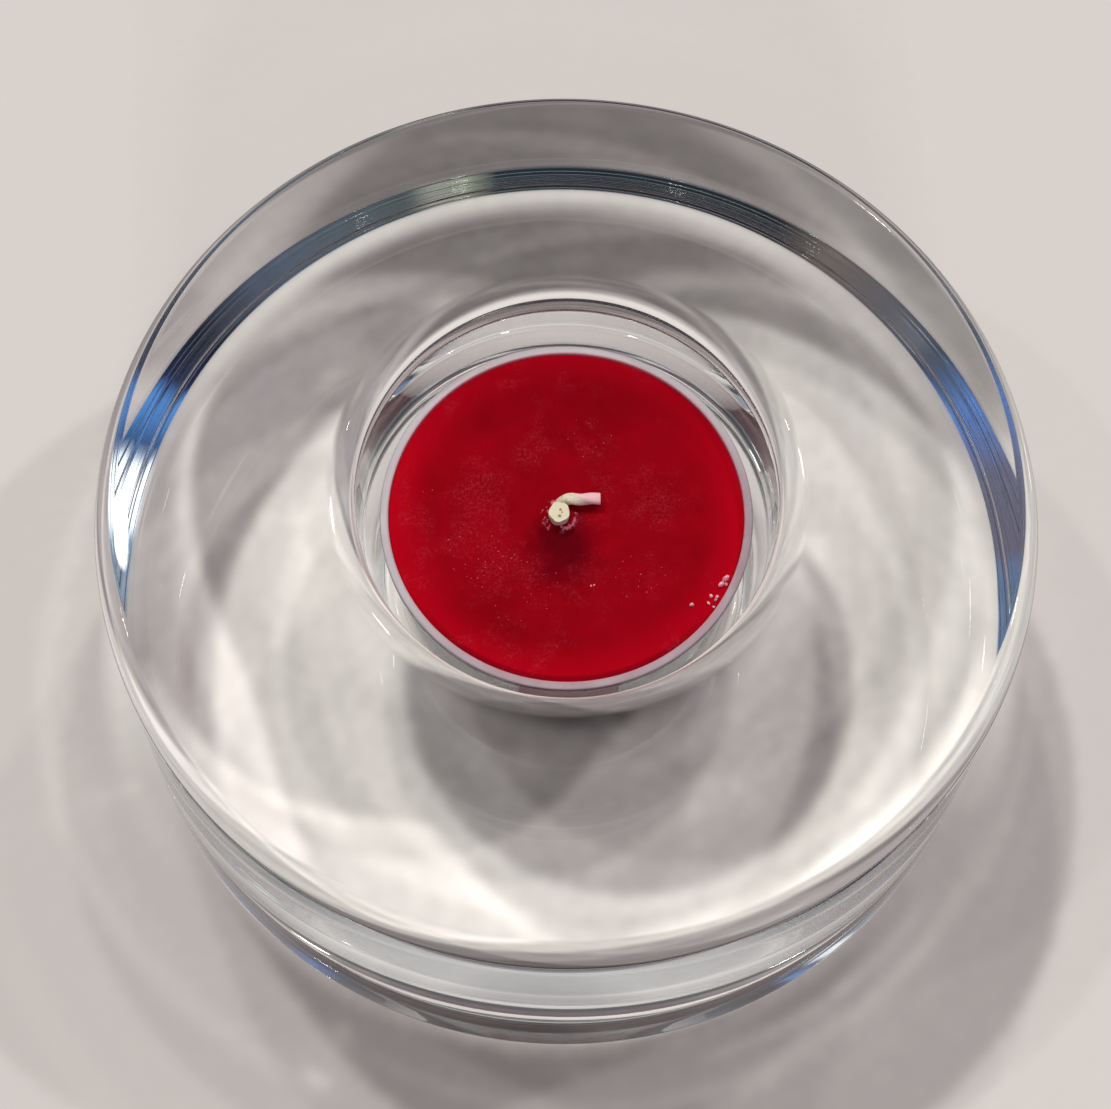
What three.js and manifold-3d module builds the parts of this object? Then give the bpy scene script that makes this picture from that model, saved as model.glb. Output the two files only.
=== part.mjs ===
// Solid glass tealight holder with a tealight in its recess.
// Millimetres, +Z up, origin at the middle of the glass block's underside. +Y points away from the viewer.
import * as THREE from 'three';
import { mergeVertices } from 'three/addons/utils/BufferGeometryUtils.js';
import Module from 'manifold-3d';

const wasm = await Module();
wasm.setup();

// Glass block: a tapered disc, widest at the foot, with soft edges all round.
const BLOCK_HEIGHT = 41.5;
const FOOT_RADIUS = 51;
const SIDE_DRAFT_DEG = 4.5;
const FOOT_ROUNDING = 3.5;
const SHOULDER_ROUNDING = 2.4;

// Recess in the top of the block, with a soft lip and a coved floor. It is wider than the cup's rim.
const RECESS_CLEARANCE = 1.6;
const RECESS_DEPTH = 24.8;
const RECESS_DRAFT_DEG = 1;
const RECESS_COVE = 2.5;
const LIP_ROUNDING = 3;

// Clear moulded cup of the tealight.
const CUP_HEIGHT = 18;
const CUP_TOP_RADIUS = 19.1;
const CUP_WALL = 0.5;
const CUP_FLOOR = 0.6;
const CUP_DRAFT_DEG = 1.5;
const CUP_FOOT_ROUNDING = 1.6;
const CUP_RIM_WIDTH = 0.6;
const CUP_RIM_HEIGHT = 0.9;
const CUP_SEAT_GAP = 0.1;

// Wax, poured almost level with the cup's rim.
const WAX_BELOW_RIM = 0.25;
const WAX_SHRINK = 0.12;
const WAX_EDGE_ROUNDING = 0.6;
const WAX_COLLAR_RADIUS = 1.9;
const WAX_COLLAR_HEIGHT = 0.45;

// Stamped sustainer that holds the wick at the bottom of the cup.
const PLATE_RADIUS = 6.5;
const PLATE_THICKNESS = 0.3;
const NECK_HEIGHT = 4;
const NECK_WALL = 0.3;
const NECK_FLARE = 0.8;
const PLATE_SEAT_GAP = 0.08;

// Wick: a cord bent double in the sustainer. One end stands up, the other lies over to the side.
const WICK_RADIUS = 1.1;
const WICK_CLEARANCE = 0.12;
const WICK_STAND = 2.1;
const WICK_LEAN_X = -0.75;
const WICK_LEAN_Y = -0.4;
const WICK_TIP_LEAN_Y = -0.85;
const TAIL_RADIUS = 0.66;
const TAIL_LENGTH = 4.0;
const TAIL_TURN_X = -0.5;
const TAIL_TURN_Y = 0.95;
const TAIL_RISE = 0.45;
const TAIL_HEIGHT = 1.0;

// The cord is plies laid round a thin core. Radii are shares of the cord's own.
const PLY_COUNT = 3;
const PLY_LAY = 3.4;
const PLY_SHARE = 0.52;
const CORE_SHARE = 0.6;
const HIDDEN_SHARE = 0.9;

// Facets, and the distance within which vertices are one.
const RING_STEPS = 80;
const ARC_STEPS = 6;
const SMALL_ARC_STEPS = 3;
const CORD_SIDES = 12;
const PLY_SIDES = 8;
const HIDDEN_STEPS = 8;
const STAND_STEPS = 8;
const TAIL_STEPS = 14;
const WELD_TOLERANCE = 1e-5;

// Heights above the table that the pieces share.
const recessFloorZ = BLOCK_HEIGHT - RECESS_DEPTH;
const cupBaseZ = recessFloorZ + CUP_SEAT_GAP;
const cupRimZ = cupBaseZ + CUP_HEIGHT;
const cupInnerFloorZ = cupBaseZ + CUP_FLOOR;
const waxZ = cupRimZ - WAX_BELOW_RIM;
const plateZ = cupInnerFloorZ + PLATE_SEAT_GAP;
const neckTopZ = plateZ + PLATE_THICKNESS + NECK_HEIGHT;

const cupRimRadius = CUP_TOP_RADIUS + CUP_RIM_WIDTH;
const recessMouthRadius = cupRimRadius + RECESS_CLEARANCE;

const draft = (degrees) => Math.tan(THREE.MathUtils.degToRad(degrees));

// Turns corner points [radius, height, rounding] into an outline whose rounded corners are tangent arcs.
function roundedOutline(corners, arcSteps = ARC_STEPS) {
  const outline = [];
  corners.forEach(([radius, height, rounding], index) => {
    const corner = new THREE.Vector2(radius, height);
    const before = corners[index - 1];
    const after = corners[index + 1];
    if (!rounding || !before || !after) {
      outline.push(corner);
      return;
    }
    const back = new THREE.Vector2(before[0], before[1]).sub(corner).normalize();
    const ahead = new THREE.Vector2(after[0], after[1]).sub(corner).normalize();
    const halfAngle = Math.acos(back.dot(ahead)) / 2;
    const reach = rounding / Math.tan(halfAngle);
    const bisector = back.clone().add(ahead).normalize();
    const centre = corner.clone().addScaledVector(bisector, rounding / Math.sin(halfAngle));
    const start = corner.clone().addScaledVector(back, reach).sub(centre);
    const end = corner.clone().addScaledVector(ahead, reach).sub(centre);
    const sweep = Math.atan2(start.cross(end), start.dot(end));
    for (let step = 0; step <= arcSteps; step += 1) {
      const spoke = start.clone().rotateAround(new THREE.Vector2(), (sweep * step) / arcSteps);
      outline.push(spoke.add(centre));
    }
  });
  return outline;
}

// Revolves an outline about the vertical axis.
function revolve(outline, steps = RING_STEPS) {
  return new THREE.LatheGeometry(outline, steps).rotateX(Math.PI / 2);
}

// Sweeps a round section along a path, closed at both ends.
function roundBar(path, radius, sides, steps) {
  const section = new THREE.Shape();
  for (let side = 0; side < sides; side += 1) {
    const angle = (2 * Math.PI * side) / sides;
    const x = radius * Math.cos(angle);
    const y = radius * Math.sin(angle);
    if (side === 0) section.moveTo(x, y);
    else section.lineTo(x, y);
  }
  section.closePath();
  return new THREE.ExtrudeGeometry(section, { steps, extrudePath: path, bevelEnabled: false });
}

// A closed geometry as a solid for cutting and joining.
function toManifold(geometry) {
  const bare = new THREE.BufferGeometry();
  bare.setAttribute('position', geometry.getAttribute('position').clone());
  if (geometry.index) bare.setIndex(geometry.index.clone());
  const welded = mergeVertices(bare, WELD_TOLERANCE);
  return new wasm.Manifold(new wasm.Mesh({
    numProp: 3,
    vertProperties: new Float32Array(welded.getAttribute('position').array),
    triVerts: new Uint32Array(welded.index.array),
  }));
}

// A solid as a geometry with normals.
function toGeometry(solid) {
  const mesh = solid.getMesh();
  const geometry = new THREE.BufferGeometry();
  geometry.setAttribute('position', new THREE.BufferAttribute(mesh.vertProperties, 3));
  geometry.setIndex(new THREE.BufferAttribute(mesh.triVerts, 1));
  geometry.computeVertexNormals();
  return geometry;
}

// One strand of a twisted cord: it winds round the cord's own path.
class PlyCurve extends THREE.Curve {
  constructor(path, offset, lay, phase) {
    super();
    this.path = path;
    this.offset = offset;
    this.turns = path.getLength() / lay;
    this.phase = phase;
  }

  getPoint(t, target = new THREE.Vector3()) {
    const tangent = this.path.getTangentAt(t);
    const side = new THREE.Vector3(0, 1, 0).cross(tangent).normalize();
    const up = tangent.clone().cross(side);
    const angle = this.phase + 2 * Math.PI * this.turns * t;
    return target.copy(this.path.getPointAt(t))
      .addScaledVector(side, this.offset * Math.cos(angle))
      .addScaledVector(up, this.offset * Math.sin(angle));
  }
}

// A cord of plies laid round a core, so that its outside radius is the one given.
function twistedCord(path, radius, steps) {
  const plyRadius = radius * PLY_SHARE;
  let cord = toManifold(roundBar(path, radius * CORE_SHARE, PLY_SIDES, steps));
  for (let ply = 0; ply < PLY_COUNT; ply += 1) {
    const route = new PlyCurve(path, radius - plyRadius, PLY_LAY, (2 * Math.PI * ply) / PLY_COUNT);
    cord = cord.add(toManifold(roundBar(route, plyRadius, PLY_SIDES, steps)));
  }
  return cord;
}

// The solid block: flat underside, drafted side, flat top, and the recess turned into it.
function glassHolder() {
  const topRadius = FOOT_RADIUS - BLOCK_HEIGHT * draft(SIDE_DRAFT_DEG);
  const mouthZ = BLOCK_HEIGHT - LIP_ROUNDING;
  const lipRadius = recessMouthRadius + LIP_ROUNDING * draft(RECESS_DRAFT_DEG);
  const floorRadius = recessMouthRadius - (mouthZ - recessFloorZ) * draft(RECESS_DRAFT_DEG);
  return revolve(roundedOutline([
    [0, 0, 0],
    [FOOT_RADIUS, 0, FOOT_ROUNDING],
    [topRadius, BLOCK_HEIGHT, SHOULDER_ROUNDING],
    [lipRadius, BLOCK_HEIGHT, LIP_ROUNDING],
    [floorRadius, recessFloorZ, RECESS_COVE],
    [0, recessFloorZ, 0],
  ]));
}

// The cup: a thin drafted wall with a rounded foot and a small rim turned outward.
function tealightCup() {
  const slope = draft(CUP_DRAFT_DEG);
  const footRadius = CUP_TOP_RADIUS - CUP_HEIGHT * slope;
  const underRimZ = cupRimZ - CUP_RIM_HEIGHT;
  const underRimRadius = CUP_TOP_RADIUS - CUP_RIM_HEIGHT * slope;
  const innerFootRadius = footRadius - CUP_WALL + CUP_FLOOR * slope;
  return revolve(roundedOutline([
    [0, cupBaseZ, 0],
    [footRadius, cupBaseZ, CUP_FOOT_ROUNDING],
    [underRimRadius, underRimZ, 0],
    [cupRimRadius, underRimZ, CUP_RIM_WIDTH / 4],
    [cupRimRadius, cupRimZ, CUP_RIM_WIDTH / 2],
    [CUP_TOP_RADIUS - CUP_WALL, cupRimZ, CUP_WALL / 3],
    [innerFootRadius, cupInnerFloorZ, CUP_FOOT_ROUNDING - CUP_WALL],
    [0, cupInnerFloorZ, 0],
  ], SMALL_ARC_STEPS));
}

// The sustainer: a round plate with a flared neck that grips the wick.
function wickSustainer() {
  const boreRadius = WICK_RADIUS + WICK_CLEARANCE;
  const neckRadius = boreRadius + NECK_WALL;
  const plateTopZ = plateZ + PLATE_THICKNESS;
  return revolve(roundedOutline([
    [boreRadius, plateZ, 0],
    [PLATE_RADIUS, plateZ, 0],
    [PLATE_RADIUS, plateTopZ, 0],
    [neckRadius + NECK_FLARE, plateTopZ, 0],
    [neckRadius, plateTopZ + NECK_FLARE, 0],
    [neckRadius, neckTopZ, 0],
    [boreRadius, neckTopZ, 0],
    [boreRadius, plateZ, 0],
  ]), RING_STEPS / 2);
}

// The cord's three stretches: up through the wax, the standing end and the end that lies over.
function wickPaths() {
  const root = new THREE.Vector3(WICK_LEAN_X, WICK_LEAN_Y, waxZ - WICK_RADIUS);
  const tip = new THREE.Vector3(WICK_LEAN_X, WICK_TIP_LEAN_Y, waxZ + WICK_STAND);
  const hidden = new THREE.CatmullRomCurve3([
    new THREE.Vector3(0, 0, plateZ + PLATE_THICKNESS),
    new THREE.Vector3(0, 0, neckTopZ + WICK_RADIUS),
    new THREE.Vector3(WICK_LEAN_X, WICK_LEAN_Y, waxZ - WICK_RADIUS / 2),
  ], false, 'centripetal');
  const standing = new THREE.LineCurve3(root, tip);
  const tail = new THREE.CatmullRomCurve3([
    new THREE.Vector3(WICK_LEAN_X, WICK_LEAN_Y + WICK_CLEARANCE, waxZ - TAIL_RADIUS),
    new THREE.Vector3(TAIL_TURN_X, TAIL_TURN_Y, waxZ + TAIL_RISE),
    new THREE.Vector3(TAIL_TURN_X + TAIL_LENGTH / 2, TAIL_TURN_Y + TAIL_RADIUS / 4, waxZ + TAIL_HEIGHT),
    new THREE.Vector3(TAIL_TURN_X + TAIL_LENGTH, TAIL_TURN_Y + TAIL_RADIUS / 2, waxZ + TAIL_HEIGHT),
  ], false, 'centripetal');
  return { hidden, standing, tail };
}

// The whole cord as one solid.
function wick() {
  const { hidden, standing, tail } = wickPaths();
  return toGeometry(toManifold(roundBar(hidden, WICK_RADIUS * HIDDEN_SHARE, CORD_SIDES, HIDDEN_STEPS))
    .add(twistedCord(standing, WICK_RADIUS, STAND_STEPS))
    .add(twistedCord(tail, TAIL_RADIUS, TAIL_STEPS)));
}

// The space that the wax leaves for the cord.
function wickRoom() {
  const { hidden, standing, tail } = wickPaths();
  const room = WICK_RADIUS + WICK_CLEARANCE;
  return toManifold(roundBar(hidden, room, CORD_SIDES * 2, HIDDEN_STEPS))
    .add(toManifold(roundBar(standing, room, CORD_SIDES * 2, STAND_STEPS)))
    .add(toManifold(roundBar(tail, TAIL_RADIUS + WICK_CLEARANCE, CORD_SIDES * 2, TAIL_STEPS)));
}

// The wax: fills the cup round the sustainer and creeps up the wick as a small collar.
function waxFill() {
  const slope = draft(CUP_DRAFT_DEG);
  const wallRadius = (z) => CUP_TOP_RADIUS - (cupRimZ - z) * slope - CUP_WALL - WAX_SHRINK;
  const baseZ = cupInnerFloorZ + WAX_SHRINK;
  const body = toManifold(revolve(roundedOutline([
    [0, baseZ, 0],
    [wallRadius(baseZ), baseZ, CUP_FOOT_ROUNDING],
    [wallRadius(waxZ), waxZ, WAX_EDGE_ROUNDING],
    [0, waxZ, 0],
  ], SMALL_ARC_STEPS)));
  return toGeometry(body.add(waxCollar()).subtract(sustainerRoom()).subtract(wickRoom()));
}

// The small ring of wax that has crept up the standing end of the cord.
function waxCollar() {
  const topRadius = WAX_COLLAR_RADIUS - WAX_COLLAR_HEIGHT / 2;
  return toManifold(revolve(roundedOutline([
    [0, waxZ - WAX_COLLAR_HEIGHT, 0],
    [WAX_COLLAR_RADIUS, waxZ - WAX_COLLAR_HEIGHT, 0],
    [topRadius, waxZ + WAX_COLLAR_HEIGHT, WAX_COLLAR_HEIGHT / 2],
    [0, waxZ + WAX_COLLAR_HEIGHT, 0],
  ], SMALL_ARC_STEPS), CORD_SIDES * 2)).translate([WICK_LEAN_X, WICK_LEAN_Y, 0]);
}

// The space that the wax leaves for the sustainer's plate and neck.
function sustainerRoom() {
  const baseZ = cupInnerFloorZ - CUP_FLOOR / 2;
  const plateTopZ = plateZ + PLATE_THICKNESS + WAX_SHRINK;
  const neckRadius = WICK_RADIUS + WICK_CLEARANCE + NECK_WALL + WAX_SHRINK;
  return toManifold(revolve(roundedOutline([
    [0, baseZ, 0],
    [PLATE_RADIUS + WAX_SHRINK, baseZ, 0],
    [PLATE_RADIUS + WAX_SHRINK, plateTopZ, 0],
    [neckRadius + NECK_FLARE, plateTopZ, 0],
    [neckRadius, plateTopZ + NECK_FLARE, 0],
    [neckRadius, neckTopZ + WAX_SHRINK, 0],
    [0, neckTopZ + WAX_SHRINK, 0],
  ]), RING_STEPS / 2));
}

// A named mesh with its own material.
function piece(name, geometry, colour, roughness, metalness, extra = {}) {
  const material = new THREE.MeshStandardMaterial({ color: colour, roughness, metalness, ...extra });
  const mesh = new THREE.Mesh(geometry, material);
  mesh.name = name;
  return mesh;
}

const SEE_THROUGH = { transparent: true, opacity: 0.3 };

const tealight = new THREE.Group();
tealight.name = 'tealight';
tealight.add(
  piece('tealight_cup', tealightCup(), 0xd9dcdc, 0.1, 0, SEE_THROUGH),
  piece('wax_fill', waxFill(), 0x98060f, 0.4, 0),
  piece('wick', wick(), 0xe6dcc8, 0.9, 0),
  piece('wick_sustainer', wickSustainer(), 0xa9abad, 0.35, 1),
);

const holder = new THREE.Group();
holder.name = 'tealight_holder';
holder.add(piece('glass_holder', glassHolder(), 0xdfe4e2, 0.03, 0, SEE_THROUGH), tealight);

export default holder;
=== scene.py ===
"""Dresses the glass tealight holder: a clear block, a clear cup, red wax and a cotton wick.

Lengths in the dataclasses are millimetres and are turned into Blender's metres where a mesh is made.
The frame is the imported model's own: the origin is the middle of the block's underside, +Z is up and
+Y points away from the viewer.
"""

import logging
import math
from dataclasses import dataclass, field
from enum import Enum
from typing import Callable, Sequence, Union

import bpy
import numpy as np
from mathutils import Matrix, Vector


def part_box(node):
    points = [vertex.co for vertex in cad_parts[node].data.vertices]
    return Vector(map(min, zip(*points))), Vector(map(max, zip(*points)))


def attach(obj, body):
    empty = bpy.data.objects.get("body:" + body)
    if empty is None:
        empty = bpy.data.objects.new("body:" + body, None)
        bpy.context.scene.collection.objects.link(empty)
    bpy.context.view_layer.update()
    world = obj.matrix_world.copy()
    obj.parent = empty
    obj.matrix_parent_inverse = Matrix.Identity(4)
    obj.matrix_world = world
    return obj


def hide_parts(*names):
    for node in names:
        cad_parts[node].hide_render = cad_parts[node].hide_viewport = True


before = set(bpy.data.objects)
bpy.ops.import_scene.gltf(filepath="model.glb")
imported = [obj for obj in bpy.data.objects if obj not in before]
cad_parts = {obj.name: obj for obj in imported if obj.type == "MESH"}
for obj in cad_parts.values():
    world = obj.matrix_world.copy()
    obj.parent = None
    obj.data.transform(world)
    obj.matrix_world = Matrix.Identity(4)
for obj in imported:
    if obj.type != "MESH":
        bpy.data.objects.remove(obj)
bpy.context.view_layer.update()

MM = 0.001
IMAGE_WIDTH = 1111
IMAGE_HEIGHT = 1109
BOUNCES = {"max_bounces": 24, "glossy_bounces": 16, "transmission_bounces": 20}
GLASS_REFRACTION = 1.52
WICK_ROOT = (-0.75, -0.4)
WICK_RADIUS = 1.1

LOG = logging.getLogger("tealight_holder")

Colour = tuple[float, float, float]
Corner = tuple[float, float, float]
Range = tuple[float, float]
Grain = tuple[float, float, float]
Stop = tuple[float, Colour]
Value = Union[float, "Signal"]


class Body(Enum):
    """The bodies that pieces ride on."""

    HOLDER = "holder"
    TEALIGHT = "tealight"


class Slot(Enum):
    """The record's material slots."""

    GLASS = "holder_glass"
    PLASTIC = "cup_plastic"
    WAX = "wax"
    COTTON = "wick_cotton"


def add_object(name: str, data: bpy.types.ID) -> bpy.types.Object:
    """Adds an object to the scene.

    Args:
        name: its name.
        data: the mesh, curve, light or camera that it shows.

    Returns:
        The object.
    """
    made = bpy.data.objects.new(name, data)
    bpy.context.scene.collection.objects.link(made)
    return made


# Shader maths.


def math_method(operation: str, swapped: bool = False) -> Callable[["Signal", Value], "Signal"]:
    """Makes a method of Signal that adds one Math node.

    Args:
        operation: the node's operation.
        swapped: whether the signal is its second input.

    Returns:
        The method.
    """

    def method(self: "Signal", other: Value) -> "Signal":
        """Adds the node and returns its output."""
        values = (other, self) if swapped else (self, other)
        return self.book.maths(operation, *values)

    return method


class Signal:
    """One output socket of a tree's nodes, with arithmetic that adds Math nodes."""

    def __init__(self, book: "NodeBook", socket: bpy.types.NodeSocket) -> None:
        """Keeps the socket and the book that adds nodes to its tree."""
        self.book = book
        self.socket = socket

    __add__ = __radd__ = math_method("ADD")
    __sub__ = math_method("SUBTRACT")
    __rsub__ = math_method("SUBTRACT", True)
    __mul__ = __rmul__ = math_method("MULTIPLY")
    __truediv__ = math_method("DIVIDE")
    power = math_method("POWER")
    larger = math_method("MAXIMUM")
    smaller = math_method("MINIMUM")

    def spread(self, base: float, gain: float) -> "Signal":
        """Returns self times the gain plus the base."""
        return self * gain + base

    def step(self, low: float, high: float) -> "Signal":
        """Adds a smooth step.

        Args:
            low: the value that gives 0.
            high: the value that gives 1. It may be below low.

        Returns:
            A signal from 0 to 1.
        """
        return self.book.add(
            "ShaderNodeMapRange",
            {"interpolation_type": "SMOOTHSTEP", "clamp": True},
            {"Value": self, "From Min": low, "From Max": high, "To Min": 0.0, "To Max": 1.0},
        )


class NodeBook:
    """Adds nodes to one tree and links their sockets."""

    def __init__(self, tree: bpy.types.NodeTree) -> None:
        """Keeps the tree and empties it."""
        self.tree = tree
        tree.nodes.clear()

    def node(self, kind: str, settings: dict, inputs: dict) -> bpy.types.Node:
        """Adds one node.

        Args:
            kind: the node's type.
            settings: attributes set first.
            inputs: values or signals by socket name or index.

        Returns:
            The node.
        """
        node = self.tree.nodes.new(kind)
        for name, value in settings.items():
            setattr(node, name, value)
        for name, value in inputs.items():
            socket = node.inputs[name]
            if isinstance(value, Signal):
                self.tree.links.new(value.socket, socket)
            else:
                socket.default_value = (*value, 1.0) if socket.type == "RGBA" else value
        return node

    def add(self, kind: str, settings: dict, inputs: dict, output: Union[int, str] = 0) -> Signal:
        """Adds one node and returns one of its outputs as a signal.

        Args:
            kind: the node's type.
            settings: attributes set first.
            inputs: values or signals by socket name or index.
            output: the output wanted.

        Returns:
            That output.
        """
        return Signal(self, self.node(kind, settings, inputs).outputs[output])

    def maths(self, operation: str, *values: Value) -> Signal:
        """Adds a Math node and returns its output."""
        return self.add("ShaderNodeMath", {"operation": operation}, dict(enumerate(values)))

    def mix(self, factor: Value, first: object, second: object, blend: str = "MIX") -> Signal:
        """Mixes two colours.

        Args:
            factor: 0 for the first colour, 1 for the second.
            first: a colour or a signal.
            second: a colour or a signal.
            blend: the way of mixing.

        Returns:
            The mixed colour.
        """
        settings = {"data_type": "RGBA", "blend_type": blend}
        return self.add("ShaderNodeMix", settings, {0: factor, 6: first, 7: second}, 2)

    def ramp(self, factor: Signal, stops: Sequence[Stop]) -> Signal:
        """Adds a colour ramp.

        Args:
            factor: the place on the ramp.
            stops: places and colours.

        Returns:
            The colour.
        """
        node = self.node("ShaderNodeValToRGB", {}, {0: factor})
        elements = node.color_ramp.elements
        while len(elements) < len(stops):
            elements.new(1.0)
        for element, (position, colour) in zip(elements, stops):
            element.position = position
            element.color = (*colour, 1.0)
        return Signal(self, node.outputs[0])

    def place(self) -> Signal:
        """Returns the Object coordinates, in metres."""
        return self.add("ShaderNodeTexCoord", {}, {}, "Object")

    def axes(self, vector: Signal) -> tuple[Signal, Signal, Signal]:
        """Returns a vector's three parts."""
        node = self.node("ShaderNodeSeparateXYZ", {}, {0: vector})
        return tuple(Signal(self, socket) for socket in node.outputs)

    def axes_mm(self, place: Signal) -> tuple[Signal, Signal, Signal]:
        """Returns a place's three parts in millimetres."""
        return tuple(part * (1.0 / MM) for part in self.axes(place))

    def noise(self, vector: Signal, size_mm: float, detail: float, rough: float) -> Signal:
        """Adds a noise of a given grain.

        Args:
            vector: coordinates in metres.
            size_mm: the grain's size.
            detail: the noise's detail.
            rough: the noise's roughness.

        Returns:
            A signal about 0.5.
        """
        inputs = {"Vector": vector, "Scale": 1.0 / (size_mm * MM), "Detail": detail, "Roughness": rough}
        return self.add("ShaderNodeTexNoise", {}, inputs)

    def specks(self, vector: Signal, pitch_mm: float, size: float, share: float) -> Signal:
        """Adds scattered round specks.

        Args:
            vector: coordinates in metres.
            pitch_mm: the mean distance between cells.
            size: a speck's radius as a share of its cell.
            share: the share of cells that hold a speck.

        Returns:
            1 in a speck, 0 elsewhere.
        """
        inputs = {"Vector": vector, "Scale": 1.0 / (pitch_mm * MM)}
        cells = self.node("ShaderNodeTexVoronoi", {"feature": "F1"}, inputs)
        distance = Signal(self, cells.outputs["Distance"])
        pick = self.axes(Signal(self, cells.outputs["Color"]))[0]
        return distance.step(size, size * 0.5) * pick.step(share, share * 0.96)

    def bump(self, height: Signal, depth_mm: float) -> Signal:
        """Turns a height from 0 to 1, which stands for a depth in millimetres, into a normal."""
        inputs = {"Height": height, "Distance": depth_mm * MM, "Strength": 1.0}
        return self.add("ShaderNodeBump", {}, inputs)

    def principled(self, inputs: dict) -> Signal:
        """Returns a Principled shader with the given inputs."""
        return self.add("ShaderNodeBsdfPrincipled", {}, inputs)

    def surface(self, shader: Signal) -> None:
        """Makes a shader the material's surface."""
        self.node("ShaderNodeOutputMaterial", {}, {"Surface": shader})


def length(x: Signal, y: Signal) -> Signal:
    """Returns how far a place is from the middle."""
    return (x * x + y * y).power(0.5)


def new_material(name: str) -> tuple[bpy.types.Material, NodeBook]:
    """Makes an empty node material.

    Args:
        name: its name.

    Returns:
        The material and the book of its nodes.
    """
    material = bpy.data.materials.new(name)
    material.use_nodes = True
    return material, NodeBook(material.node_tree)


# Finishes. A Range is where a smooth step starts and ends, or a base and a gain. A Grain is a noise's
# size in millimetres, detail and roughness.


@dataclass(frozen=True)
class ClearGlass:
    """Heavy polished glass: all but flawless, with a faint wave and faint smudges."""

    tint: Colour = (0.985, 0.99, 0.988)
    wave: Grain = (17.0, 1.0, 0.4)
    wave_depth_mm: float = 0.004
    smudge: Grain = (6.0, 4.0, 0.6)
    smudges: Range = (0.62, 0.8)
    smudge_rough: float = 0.006

    def build(self) -> bpy.types.Material:
        """Makes the glass material.

        Returns:
            The material.
        """
        material, book = new_material("clear_glass")
        place = book.place()
        normal = book.bump(book.noise(place, *self.wave), self.wave_depth_mm)
        smudge = book.noise(place, *self.smudge).step(*self.smudges)
        glass = {
            "Base Color": self.tint,
            "Roughness": smudge * self.smudge_rough,
            "IOR": GLASS_REFRACTION,
            "Transmission Weight": 1.0,
            "Normal": normal,
        }
        book.surface(book.principled(glass))
        return material


@dataclass(frozen=True)
class CupPlastic:
    """Clear moulded plastic, milky where the rim is thick, with a patch where wax wets the wall."""

    body_tint: Colour = (0.95, 0.93, 0.95)
    milk: Colour = (0.58, 0.51, 0.545)
    near_milk: Colour = (0.43, 0.28, 0.33)
    blush: Colour = (0.7, 0.26, 0.34)
    wetted: Colour = (0.5, 0.05, 0.12)
    scuffs: Grain = (0.7, 4.0, 0.65)
    streaks: Grain = (3.0, 2.0, 0.5)
    bump_mm: float = 0.015
    clear_rough: Range = (0.03, 0.12)
    milk_rough: Range = (0.2, 0.2)
    streak_share: float = 0.3
    blush_share: float = 0.8
    wet_middle_deg: float = -87.0
    wet_half_deg: float = 17.0
    wet_edge_deg: float = 2.5
    wet_above: Range = (-7.0, -5.0)
    wet_below: Range = (-0.08, -0.3)
    rim_above: Range = (-1.6, -0.8)
    near: Range = (-3.0, 14.0)
    far: Range = (-9.0, -2.0)
    blush_across: Range = (0.3, 0.0)
    rim_share: float = 0.72
    far_share: float = 0.45
    clear_share: float = 0.05
    most_share: float = 0.78
    wet_share: float = 0.8
    refraction: float = 1.58

    def build(self, rim_z: float, rim_inner: float) -> bpy.types.Material:
        """Makes the cup's material.

        Args:
            rim_z: the height of the rim's top, in millimetres.
            rim_inner: the radius where the rim starts, in millimetres.

        Returns:
            The material.
        """
        material, book = new_material("cup_plastic")
        place = book.place()
        x, y, z = book.axes_mm(place)
        over_rim = z - rim_z
        scuff = book.noise(place, *self.scuffs)
        streak = book.noise(place, *self.streaks)
        around = book.maths("ARCTAN2", y, x) * math.degrees(1.0)
        apart = book.maths("ABSOLUTE", around - self.wet_middle_deg) + (scuff - 0.5) * 3.0
        wet = apart.step(self.wet_half_deg, self.wet_half_deg - self.wet_edge_deg)
        wet = wet * over_rim.step(*self.wet_below) * over_rim.step(*self.wet_above)
        milk = book.mix((x * 0.7 - y).step(*self.near), self.milk, self.near_milk)
        milk = book.mix(streak * self.streak_share, milk, self.body_tint)
        blush = (length(x, y) - rim_inner).step(*self.blush_across) * self.blush_share
        milk = book.mix(blush, milk, self.blush)
        both = {"IOR": self.refraction, "Normal": book.bump(scuff * 0.6 + streak * 0.4, self.bump_mm)}
        clear = book.principled(
            {
                "Base Color": self.body_tint,
                "Roughness": scuff.spread(*self.clear_rough),
                "Transmission Weight": 1.0,
                **both,
            }
        )
        colour = book.mix(wet, milk, self.wetted)
        rough = scuff.spread(*self.milk_rough)
        cloudy = book.principled({"Base Color": colour, "Roughness": rough, **both})
        share = over_rim.step(*self.rim_above) * self.rim_share + y.step(*self.far) * self.far_share
        share = (share + self.clear_share).smaller(self.most_share).larger(wet * self.wet_share)
        book.surface(book.add("ShaderNodeMixShader", {}, {0: share, 1: clear, 2: cloudy}))
        return material


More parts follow.
